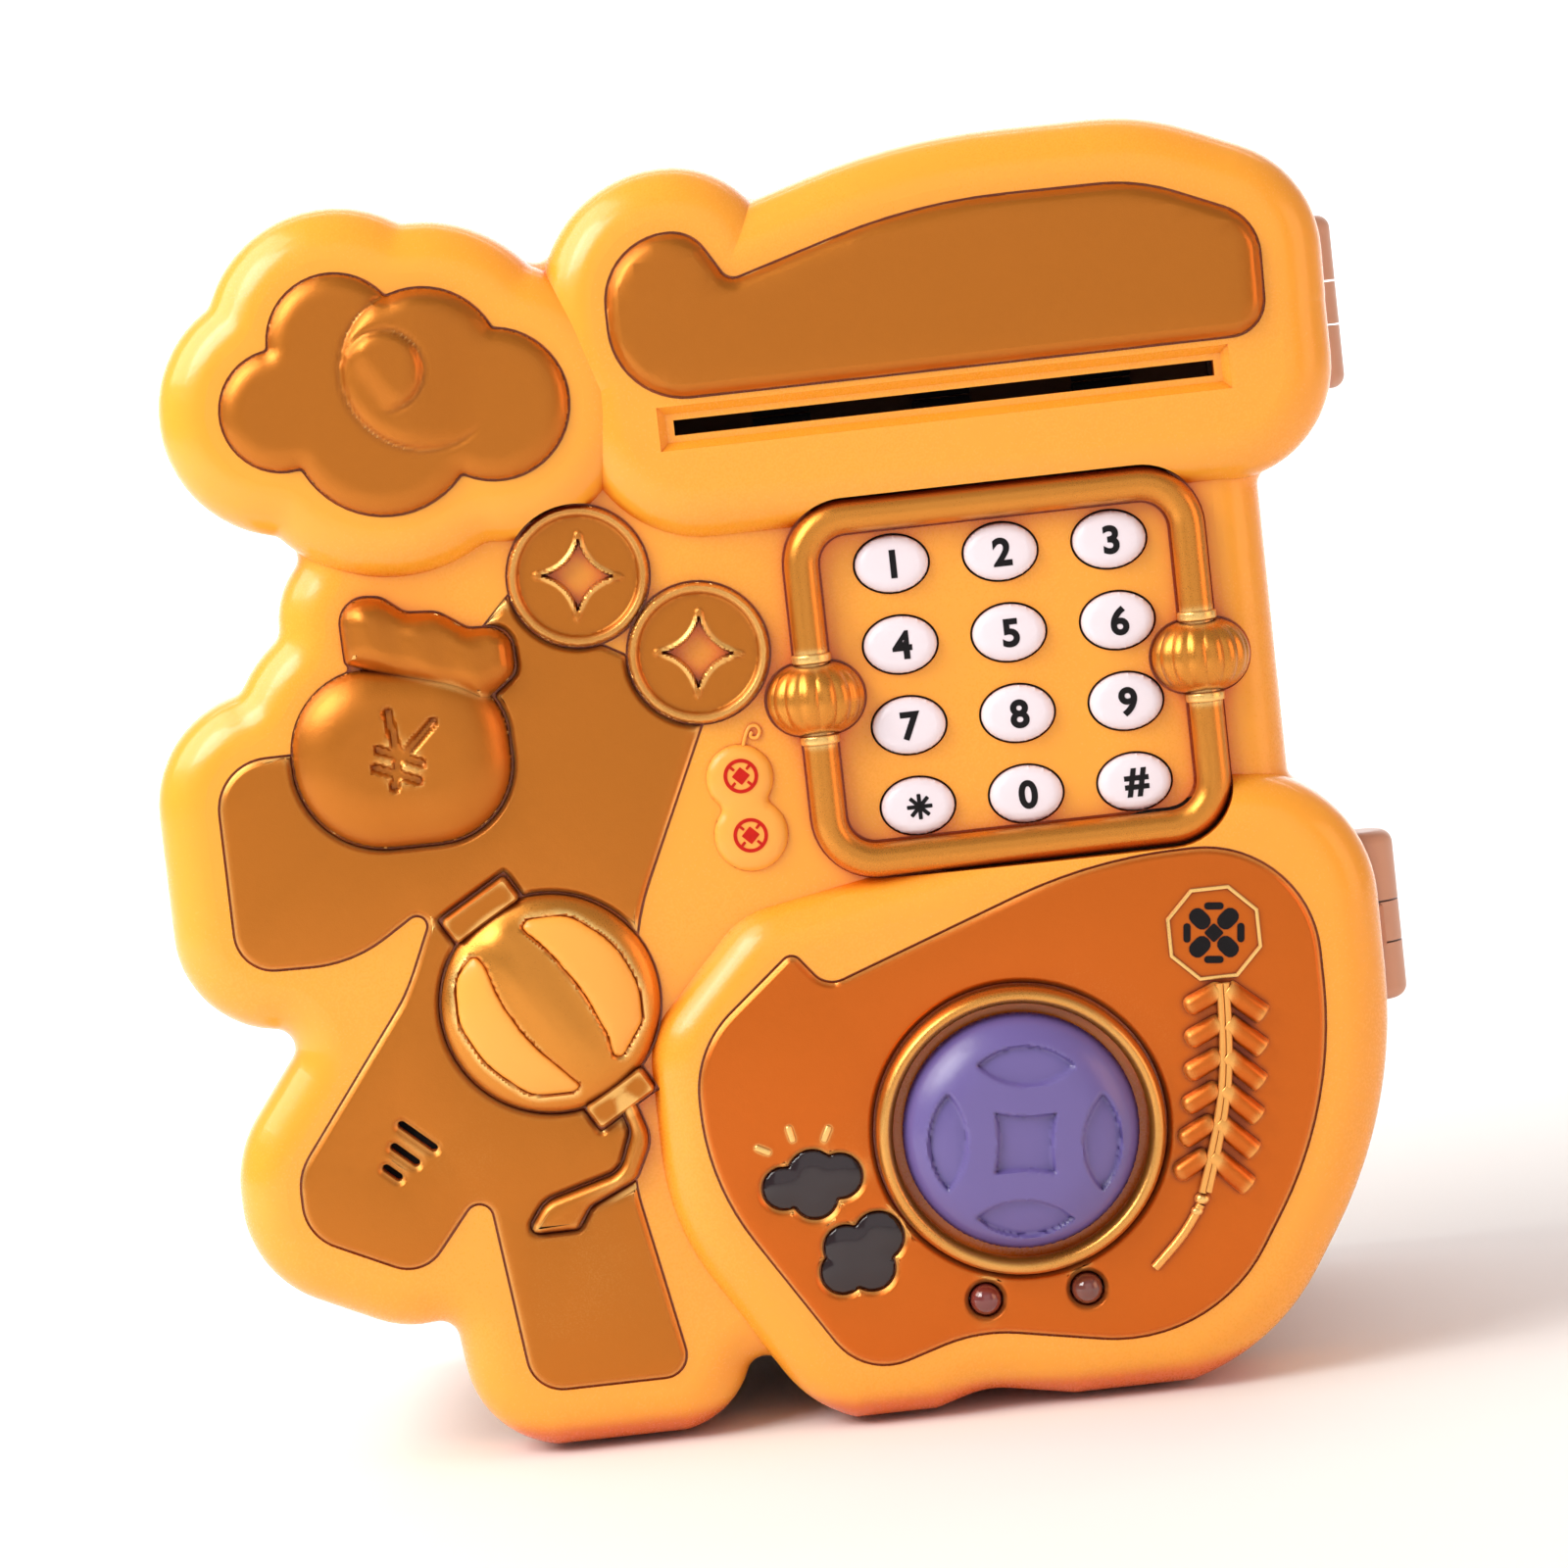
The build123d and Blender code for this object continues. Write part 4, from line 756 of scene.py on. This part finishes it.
BEAD_CORE = 2.1      # the bead's barrel: a core with a half-round of this second radius all round it
BEAD_ROUND = 5.6
BEAD_FLAT = 0.88     # the bead is a little flatter front to back
BEAD_RIBS = 8
COLLAR_AT = 6.35     # from the middle of a bead
COLLAR_R = TUBE_R + 0.42
beads = bmesh.new()
collars = bmesh.new()
for side in (-1, 1):
    bead_at = Vector((KEYPAD.x + side * (half_w - TUBE_R), KEYPAD.y - 0.8, LOWER + 0.8))
    ball = bmesh.ops.create_uvsphere(beads, u_segments=140, v_segments=28, radius=1)["verts"]
    for v in ball:
        around = atan2(v.co.y, v.co.x)
        belly = sqrt(max(0.0, 1 - v.co.z ** 2))
        rib = 1 - 0.07 * belly * (1 - abs(sin(BEAD_RIBS * around + 0.4)) ** 0.6)
        reach = (BEAD_CORE * min(1.0, belly / 0.2) + BEAD_ROUND * belly) * rib
        v.co = bead_at + Vector((cos(around) * reach, v.co.z * BEAD_ROUND, sin(around) * reach * BEAD_FLAT))
    for end in (-1, 1):
        place = Matrix.Translation((bead_at.x, bead_at.y + end * COLLAR_AT, TUBE_OUT))
        made = bmesh.ops.create_cone(collars, cap_ends=True, segments=36, radius1=COLLAR_R,
                                     radius2=COLLAR_R, depth=1.5,
                                     matrix=place @ Matrix.Rotation(radians(90), 4, "X"))
        rims = {e for v in made["verts"] for e in v.link_edges if len(e.link_faces) == 2
                and any(len(f.verts) > 4 for f in e.link_faces)}
        bmesh.ops.bevel(collars, geom=list(rims), offset=0.35, affect="EDGES", segments=3, profile=0.5,
                        material=-1)
finish(beads, "keypad_beads", bright_gold)
finish(collars, "keypad_collars", bright_gold)

# %% [markdown]
# ## The keys
# Twelve oval caps, each a shallow dome. A key's sign is text turned into a mesh, thickened a little,
# and laid on its dome. Each cap and its sign ride on that key's own body, so they press in together.

# %% Key caps and signs
KEY_NAMES = ("1", "2", "3", "4", "5", "6", "7", "8", "9", "star", "0", "hash")
KEY_HALF = (5.7, 4.4)
KEY_STEP = (17.04, 12.7)
KEY_BASE = LOWER + 0.35
KEYS_RIGHT = 0.9     # the block of keys lies a little to the right in its frame, and low
KEYS_DOWN = 0.3
SIGN_SIZE = 5.9


def key_height(x, y, distance):
    return swell(distance, 1.15, 1.6) + swell(distance, 0.45, 4.6)


def sign_mesh(text):
    curve = bpy.data.curves.new("sign", "FONT")
    curve.body = text
    curve.size = SIGN_SIZE
    curve.offset = 0.2
    curve.align_x = "CENTER"
    curve.resolution_u = 6
    return mesh_of(curve)


def star_mesh():
    bm = bmesh.new()
    for k in range(4):
        gather(bm, turned_sheet(0, 0, 4.0, 0.62, 45 * k, 0.15))
    return bm


for i, name in enumerate(KEY_NAMES):
    x = KEYPAD.x + KEYS_RIGHT + (i % 3 - 1) * KEY_STEP[0]
    y = KEYPAD.y - KEYS_DOWN + (1.5 - i // 3) * KEY_STEP[1]
    cap = round_sheet(0, 0, 1, 72)
    bmesh.ops.scale(cap, vec=(*KEY_HALF, 1), verts=cap.verts)
    bmesh.ops.translate(cap, vec=(x, y, 0), verts=cap.verts)
    pillow(cap, KEY_BASE, 0, 0, pitch=1.1, steps=(0.15, 0.3, 0.4, 0.6), shape=key_height, depth=3.0)
    finish(cap, "key_cap_" + name, key_white, body="key_" + name + "_cap",
           replaces=("key_" + name,))
    sign = star_mesh() if name == "star" else sign_mesh({"hash": "#"}.get(name, name))
    low = [min(v.co[k] for v in sign.verts) for k in (0, 1)]
    high = [max(v.co[k] for v in sign.verts) for k in (0, 1)]
    bmesh.ops.translate(sign, verts=sign.verts, vec=(
        x + 0.2 - (low[0] + high[0]) / 2, y - (low[1] + high[1]) / 2, 0))
    if name != "star":
        bmesh.ops.triangulate(sign, faces=sign.faces)
    cut_grid(sign, 0.8)
    for v in sign.verts:
        across = hypot((v.co.x - x) / KEY_HALF[0], (v.co.y - y) / KEY_HALF[1])
        v.co.z = KEY_BASE + key_height(0, 0, (1 - across) * KEY_HALF[1]) + 0.07
    skirt(sign, 0.25)
    finish(sign, "key_sign_" + name, black_print, body="key_" + name + "_cap")

# %% [markdown]
# ## The knob
# A purple dome with the pattern of an old coin pressed in: a square with bowed sides and four
# leaf-shaped pockets round it. They are dips in one finely cut dome. Round it goes a gold ring,
# which is one profile spun a full turn.

# %% Knob and ring
KNOB = Vector((32.5, 42.8))
KNOB_R = 18.5
MOTIF_TURN = radians(-6.4)
LEAF_R = 11.2
LEAF_HALF = 3.15
LEAF_AT = 12.0
SQUARE_HALF = 4.9
POCKET = 1.15
MOTIF_SHIFT = (0.3, -1.2)
RING_R = 21.35
RING_HALF = (1.35, 2.5)     # half of the ring's width, and of its height


def knob_height(x, y, distance):
    u, v = x - KNOB.x - MOTIF_SHIFT[0], y - KNOB.y - MOTIF_SHIFT[1]
    a = u * cos(MOTIF_TURN) + v * sin(MOTIF_TURN)
    b = -u * sin(MOTIF_TURN) + v * cos(MOTIF_TURN)
    reach = hypot(a, b)
    height = swell(distance, 5.6, 8.5) + 1.1 * (1 - (reach / KNOB_R) ** 2)
    leaf = -9.0
    for p, q in ((a, b), (b, a)):
        shifted = abs(q) - LEAF_AT
        leaf = max(leaf, LEAF_R - max(hypot(p, shifted - LEAF_HALF + LEAF_R),
                                      hypot(p, shifted + LEAF_HALF - LEAF_R)))
    bowed = 0.55 * (1 - (min(abs(a), abs(b)) / SQUARE_HALF) ** 2)
    square = SQUARE_HALF - bowed - max(abs(a), abs(b))
    return height - POCKET * smooth_step(max(leaf, square), -0.1, 0.42)


dome = pillow(round_sheet(*KNOB, KNOB_R, 128), UPPER + 0.9, 0, 0, pitch=0.36,
              steps=(0.1, 0.2, 0.3, 0.45, 0.6), shape=knob_height, depth=1.0)
finish(dome, "knob_dome", purple, body="knob_set", replaces=("knob",), sharp=60)

bezel = bmesh.new()
middle = Vector((KNOB.x + RING_R, KNOB.y, UPPER + 1.5))
bmesh.ops.create_circle(bezel, segments=24, radius=1, matrix=(
    Matrix.Translation(middle) @ Matrix.Rotation(radians(90), 4, "X") @ Matrix.Diagonal((*RING_HALF, 1, 1))))
bmesh.ops.spin(bezel, geom=bezel.verts[:] + bezel.edges[:], cent=(*KNOB, 0), axis=(0, 0, 1),
               angle=radians(360), steps=96, use_merge=True)
finish(bezel, "knob_ring", bright_gold, replaces=("knob_bezel",))

# %% [markdown]
# ## Windows, rays and lamps
# The two smoked windows are shaped like little clouds. Above the upper one, three short rays stand
# out from the plate. The lamps are clear domes and keep their CAD shape.

# %% Windows and rays
for name in ("upper_window", "lower_window"):
    bm = trace(name, UPPER + PLATE_PROUD)
    bmesh.ops.dissolve_limit(bm, angle_limit=0.01, verts=bm.verts, edges=bm.edges)
    pillow(bm, UPPER - 0.25, 0.75, 3.2, pitch=0.8, steps=(0.1, 0.2, 0.3), depth=0.6)
    finish(bm, name + "_lens", smoked, replaces=(name,))

rays = bmesh.new()
for tip, foot in (((-9.2, 44.8), (-6.6, 43.4)), ((-3.6, 47.6), (-3.0, 44.7)), ((2.9, 46.8), (1.6, 44.3))):
    middle = (Vector(tip) + Vector(foot)) / 2
    angle = degrees(atan2(tip[1] - foot[1], tip[0] - foot[0]))
    gather(rays, pillow(turned_sheet(*middle, 2.9, 1.15, angle, 0.45), UPPER + PLATE_PROUD - 0.1, 0.5, 0.4,
                        pitch=0, steps=(0.08, 0.12, 0.15), depth=0.3))
finish(rays, "window_rays", bright_gold)

# %% [markdown]
# ## Firecrackers
# Six pairs of paper firecrackers hang on a stem of two cords. Each one is a short rod with rounded edges:
# the left ones lie flat with a round end, the right ones slant down and show their cut end.

# %% Barrels and stem
PLATE_TOP = UPPER + PLATE_PROUD
PAIRS = 6
BARREL_LIFT = 0.35   # height of a barrel's axis over the plate, in radii


def barrel(bm, start, end, r, rounded):
    line = Vector(end) - Vector(start)
    lift = PLATE_TOP + r * BARREL_LIFT
    place = (Matrix.Translation(((start[0] + end[0]) / 2, (start[1] + end[1]) / 2, lift))
             @ Matrix.Rotation(atan2(line.y, line.x), 4, "Z") @ Matrix.Rotation(radians(90), 4, "Y"))
    made = bmesh.ops.create_cone(bm, cap_ends=True, segments=24, radius1=r, radius2=r, depth=line.length,
                                 matrix=place)
    rims = {e for v in made["verts"] for e in v.link_edges if any(len(f.verts) > 4 for f in e.link_faces)}
    bmesh.ops.bevel(bm, geom=list(rims), offset=rounded, affect="EDGES", segments=4, profile=0.5, material=-1)


left_barrels = bmesh.new()
right_barrels = bmesh.new()
for i in range(PAIRS):
    t = i / (PAIRS - 1)
    tip = (59.9 - 1.3 * t - 3.0 * t * t, 58.9 - 25.9 * t)
    end = (72.0 - 2.5 * t - 2.5 * t * t, 56.6 - 26.6 * t)
    stem = (66.0 - 1.6 * t - 3.4 * t * t, 61.0 - 25.6 * t)
    barrel(left_barrels, tip, (stem[0] + 0.3, stem[1] + 0.5), 1.65, 1.3)
    barrel(right_barrels, (stem[0] + 0.6, stem[1] + 0.3), end, 1.75, 0.25)
finish(left_barrels, "firecrackers_left", orange_gold, replaces=("firecracker_string",))
finish(right_barrels, "firecrackers_right", orange_gold)


def tube(name, points, r, material, out):
    """A round bead of lacquer that follows a smooth line over the plate."""
    curve = bpy.data.curves.new(name, "CURVE")
    curve.dimensions = "3D"
    spline = curve.splines.new("NURBS")
    spline.points.add(len(points) - 1)
    for point, (x, y) in zip(spline.points, points):
        point.co = (x, y, out, 1)
    spline.order_u = 3
    spline.use_endpoint_u = True
    curve.bevel_depth = r
    curve.bevel_resolution = 4
    curve.resolution_u = 8
    curve.use_fill_caps = True
    finish(mesh_of(curve), name, material)


for name, shift in (("firecracker_cord_left", -0.45), ("firecracker_cord_right", 0.5)):
    tube(name, [(66.1 + shift, 62.4), (65.9 + shift, 54), (64.2 + shift, 42), (60.0 + shift, 30)], 0.62,
         orange_gold, PLATE_TOP + 1.6)
tube("firecracker_tail", [(59.2, 28), (57.6, 25.6), (55, 22.4), (51, 18.8)], 0.75, orange_gold,
     PLATE_TOP + 0.4)
knot = bmesh.new()
for x, y, r in ((59.5, 28.9, 1.25), (58.5, 27.0, 1.0)):
    place = Matrix.Translation((x, y, PLATE_TOP + 0.4)) @ Matrix.Diagonal((1, 0.8, 0.9, 1))
    bmesh.ops.create_uvsphere(knot, u_segments=24, v_segments=12, radius=r, matrix=place)
finish(knot, "firecracker_knot", bright_gold)

# %% [markdown]
# ## The two badges
# The eight-sided badge is a thin raised line round a black print. The gourd is two round pillows
# with a curled tendril and red print. Both prints are plain coin and flower patterns.

# %% Octagon badge
OCTAGON = (65.7, 70.2)
OCTAGON_R = 7.85
BADGE_TURN = 39
border = bmesh.new()
bmesh.ops.create_circle(border, cap_ends=True, segments=8, radius=OCTAGON_R, matrix=(
    Matrix.Translation((*OCTAGON, PLATE_TOP - 0.1)) @ Matrix.Rotation(radians(22.5), 4, "Z")))
inner = border.faces[:]
bmesh.ops.inset_region(border, faces=inner, thickness=0.6, depth=0, use_boundary=True, use_even_offset=True)
bmesh.ops.delete(border, geom=inner, context="FACES_ONLY")
up = bmesh.ops.extrude_face_region(border, geom=border.faces[:])["geom"]
bmesh.ops.translate(border, verts=[g for g in up if isinstance(g, bmesh.types.BMVert)], vec=(0, 0, 0.6))
tops = [e for e in border.edges if all(v.co.z > PLATE_TOP + 0.3 for v in e.verts)
        and len({round(f.normal.z) for f in e.link_faces}) > 1]
bmesh.ops.recalc_face_normals(border, faces=border.faces)
bmesh.ops.bevel(border, geom=tops, offset=0.2, affect="EDGES", segments=2, profile=0.5, material=-1)
finish(border, "octagon_border", bright_gold, replaces=("octagon_badge",))


def print_piece(name, parts, out, material, thickness=0.12):
    """Flat printed shapes, laid on a surface and given the thickness of the ink."""
    bm = bmesh.new()
    for part in parts:
        for v in part.verts:
            v.co.z = out
        skirt(part, thickness)
        gather(bm, part)
    finish(bm, name, material, sharp=30)


def ring_sheet(x, y, outer, inner, segments=48):
    bm = round_sheet(x, y, outer, segments)
    face = bm.faces[:]
    bmesh.ops.inset_region(bm, faces=face, thickness=outer - inner, depth=0, use_boundary=True,
                           use_even_offset=True)
    bmesh.ops.delete(bm, geom=face, context="FACES_ONLY")
    return bm


flower = [turned_sheet(OCTAGON[0], OCTAGON[1], 2.2, 2.2, BADGE_TURN, 0.3)]
for k in range(4):
    spread = radians(90 * k + BADGE_TURN)
    petal = turned_sheet(OCTAGON[0] + 3.1 * cos(spread), OCTAGON[1] + 3.1 * sin(spread), 3.6, 2.6,
                         90 * k + BADGE_TURN, 1.2)
    bar = turned_sheet(OCTAGON[0] + 4.2 * cos(spread + pi / 4), OCTAGON[1] + 4.2 * sin(spread + pi / 4),
                       1.1, 3.0, 90 * k + BADGE_TURN + 45, 0.5)
    flower += [petal, bar]
print_piece("octagon_print", flower, PLATE_TOP + 0.12, black_print)

# %% Gourd badge
bm = trace("gourd_badge", LOWER, facing=-1)
bmesh.ops.dissolve_limit(bm, angle_limit=0.01, verts=bm.verts, edges=bm.edges)
pillow(bm, LOWER - 0.05, 1.5, 2.6, pitch=1.4, steps=(0.12, 0.25, 0.35, 0.4), depth=0.2)
finish(bm, "gourd_pillow", badge_yellow, replaces=("gourd_badge",))
TENDRIL = ((-3.9, 107.0), (-3.2, 109.4), (-1.9, 110.2), (-0.9, 109.2), (-1.6, 107.8), (-2.9, 108.3),
           (-2.3, 109.0))
tube("gourd_tendril", TENDRIL, 0.32, badge_yellow, LOWER + 0.25)
marks = []
for x, y in ((-4.8, 102.4), (-4.3, 93.0)):
    marks += [ring_sheet(x, y, 2.7, 2.15), turned_sheet(x, y, 2.0, 2.0, 45, 0.1)]
    for k in range(4):
        spread = radians(90 * k + 45)
        marks.append(turned_sheet(x + 1.75 * cos(spread), y + 1.75 * sin(spread), 0.8, 0.42,
                                  90 * k + 45, 0.1))
print_piece("gourd_print", marks, LOWER + 1.56, red_print)

# %% [markdown]
# ## Stage, light and camera
# The floor bends up into a back wall with a lamp of its own. The main light is soft and comes from
# the upper left, with a broad fill from the front and a small warm one from the right.

# %% Stage
def stage():
    bm = bmesh.new()
    side, front, back, top, bend = -3.5, -3.0, 2.2, 4.0, 0.8
    profile = [bm.verts.new((side, front, 0)), bm.verts.new((side, back - bend, 0)),
               bm.verts.new((side, back, bend)), bm.verts.new((side, back, top))]
    edges = [bm.edges.new(pair) for pair in zip(profile, profile[1:])]
    bmesh.ops.bevel(bm, geom=[profile[1], profile[2]], offset=0.33, affect="VERTICES", segments=6,
                    profile=0.5, material=-1)
    made = bmesh.ops.extrude_edge_only(bm, edges=bm.edges[:])
    far = [v for v in made["geom"] if isinstance(v, bmesh.types.BMVert)]
    bmesh.ops.translate(bm, verts=far, vec=(-2 * side, 0, 0))
    bmesh.ops.recalc_face_normals(bm, faces=bm.faces)
    mesh = bpy.data.meshes.new("floor")
    bm.to_mesh(mesh)
    bm.free()
    mesh.shade_smooth()
    paint = Paint("pale_floor")
    tint = paint.noise(3.0)
    paint.set(Base_Color=paint.blend(tint, (0.86, 0.86, 0.86, 1), (0.9, 0.9, 0.9, 1)), Roughness=0.9)
    mesh.materials.append(paint.material)
    floor = bpy.data.objects.new("floor", mesh)
    bpy.context.scene.collection.objects.link(floor)
    floor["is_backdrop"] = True


stage()


def softbox(name, place, target, size, watts, tint=(1, 1, 1)):
    light = bpy.data.lights.new(name, "AREA")
    light.shape = "RECTANGLE"
    light.size, light.size_y = size
    light.energy = watts
    light.color = tint
    lamp = bpy.data.objects.new(name, light)
    lamp.location = place
    lamp.rotation_euler = (Vector(target) - Vector(place)).to_track_quat("-Z", "Y").to_euler()
    bpy.context.scene.collection.objects.link(lamp)


middle = (0.0, -0.03, 0.1)
softbox("key", (-0.55, -0.55, 0.62), middle, (0.4, 0.4), 4.0)
softbox("fill", (0.2, -1.3, 0.5), middle, (1.2, 1.0), 1.9)
softbox("warm_side", (0.75, -0.35, 0.25), middle, (0.4, 0.5), 1.5, (1.0, 0.5, 0.28))
softbox("rim", (-0.72, -0.17, 0.78), middle, (0.8, 0.8), 8.5, (1.0, 0.95, 0.85))
softbox("backdrop", (0.0, 1.0, 1.7), (0.0, 2.0, 0.9), (2.5, 0.8), 60.0)
world = bpy.data.worlds.new("studio")
bpy.context.scene.world = world
world.use_nodes = True
world.node_tree.nodes["Background"].inputs["Color"].default_value = (1, 1, 1, 1)
world.node_tree.nodes["Background"].inputs["Strength"].default_value = 0.36
bpy.context.scene.view_settings.view_transform = "Standard"

CAMERA_TILT = 6.4        # roll about its own line of sight, in degrees
CAMERA_LIFT = 5.0        # degrees above level
CAMERA_DISTANCE = 0.816
camera = bpy.data.cameras.new("camera")
camera.lens = 120
camera.sensor_width = 36
eye = bpy.data.objects.new("camera", camera)
aim = Vector((0.00086, -0.048, 0.10257))
lift = radians(CAMERA_LIFT)
eye.location = aim + CAMERA_DISTANCE * Vector((0, -cos(lift), sin(lift)))
eye.rotation_euler = (Matrix.Rotation(radians(90) - lift, 4, "X")
                      @ Matrix.Rotation(radians(-CAMERA_TILT), 4, "Z")).to_euler()
camera.clip_start = 0.01
camera.clip_end = 20
bpy.context.scene.collection.objects.link(eye)
bpy.context.scene.camera = eye

# %% Sizes and the end
low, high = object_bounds()
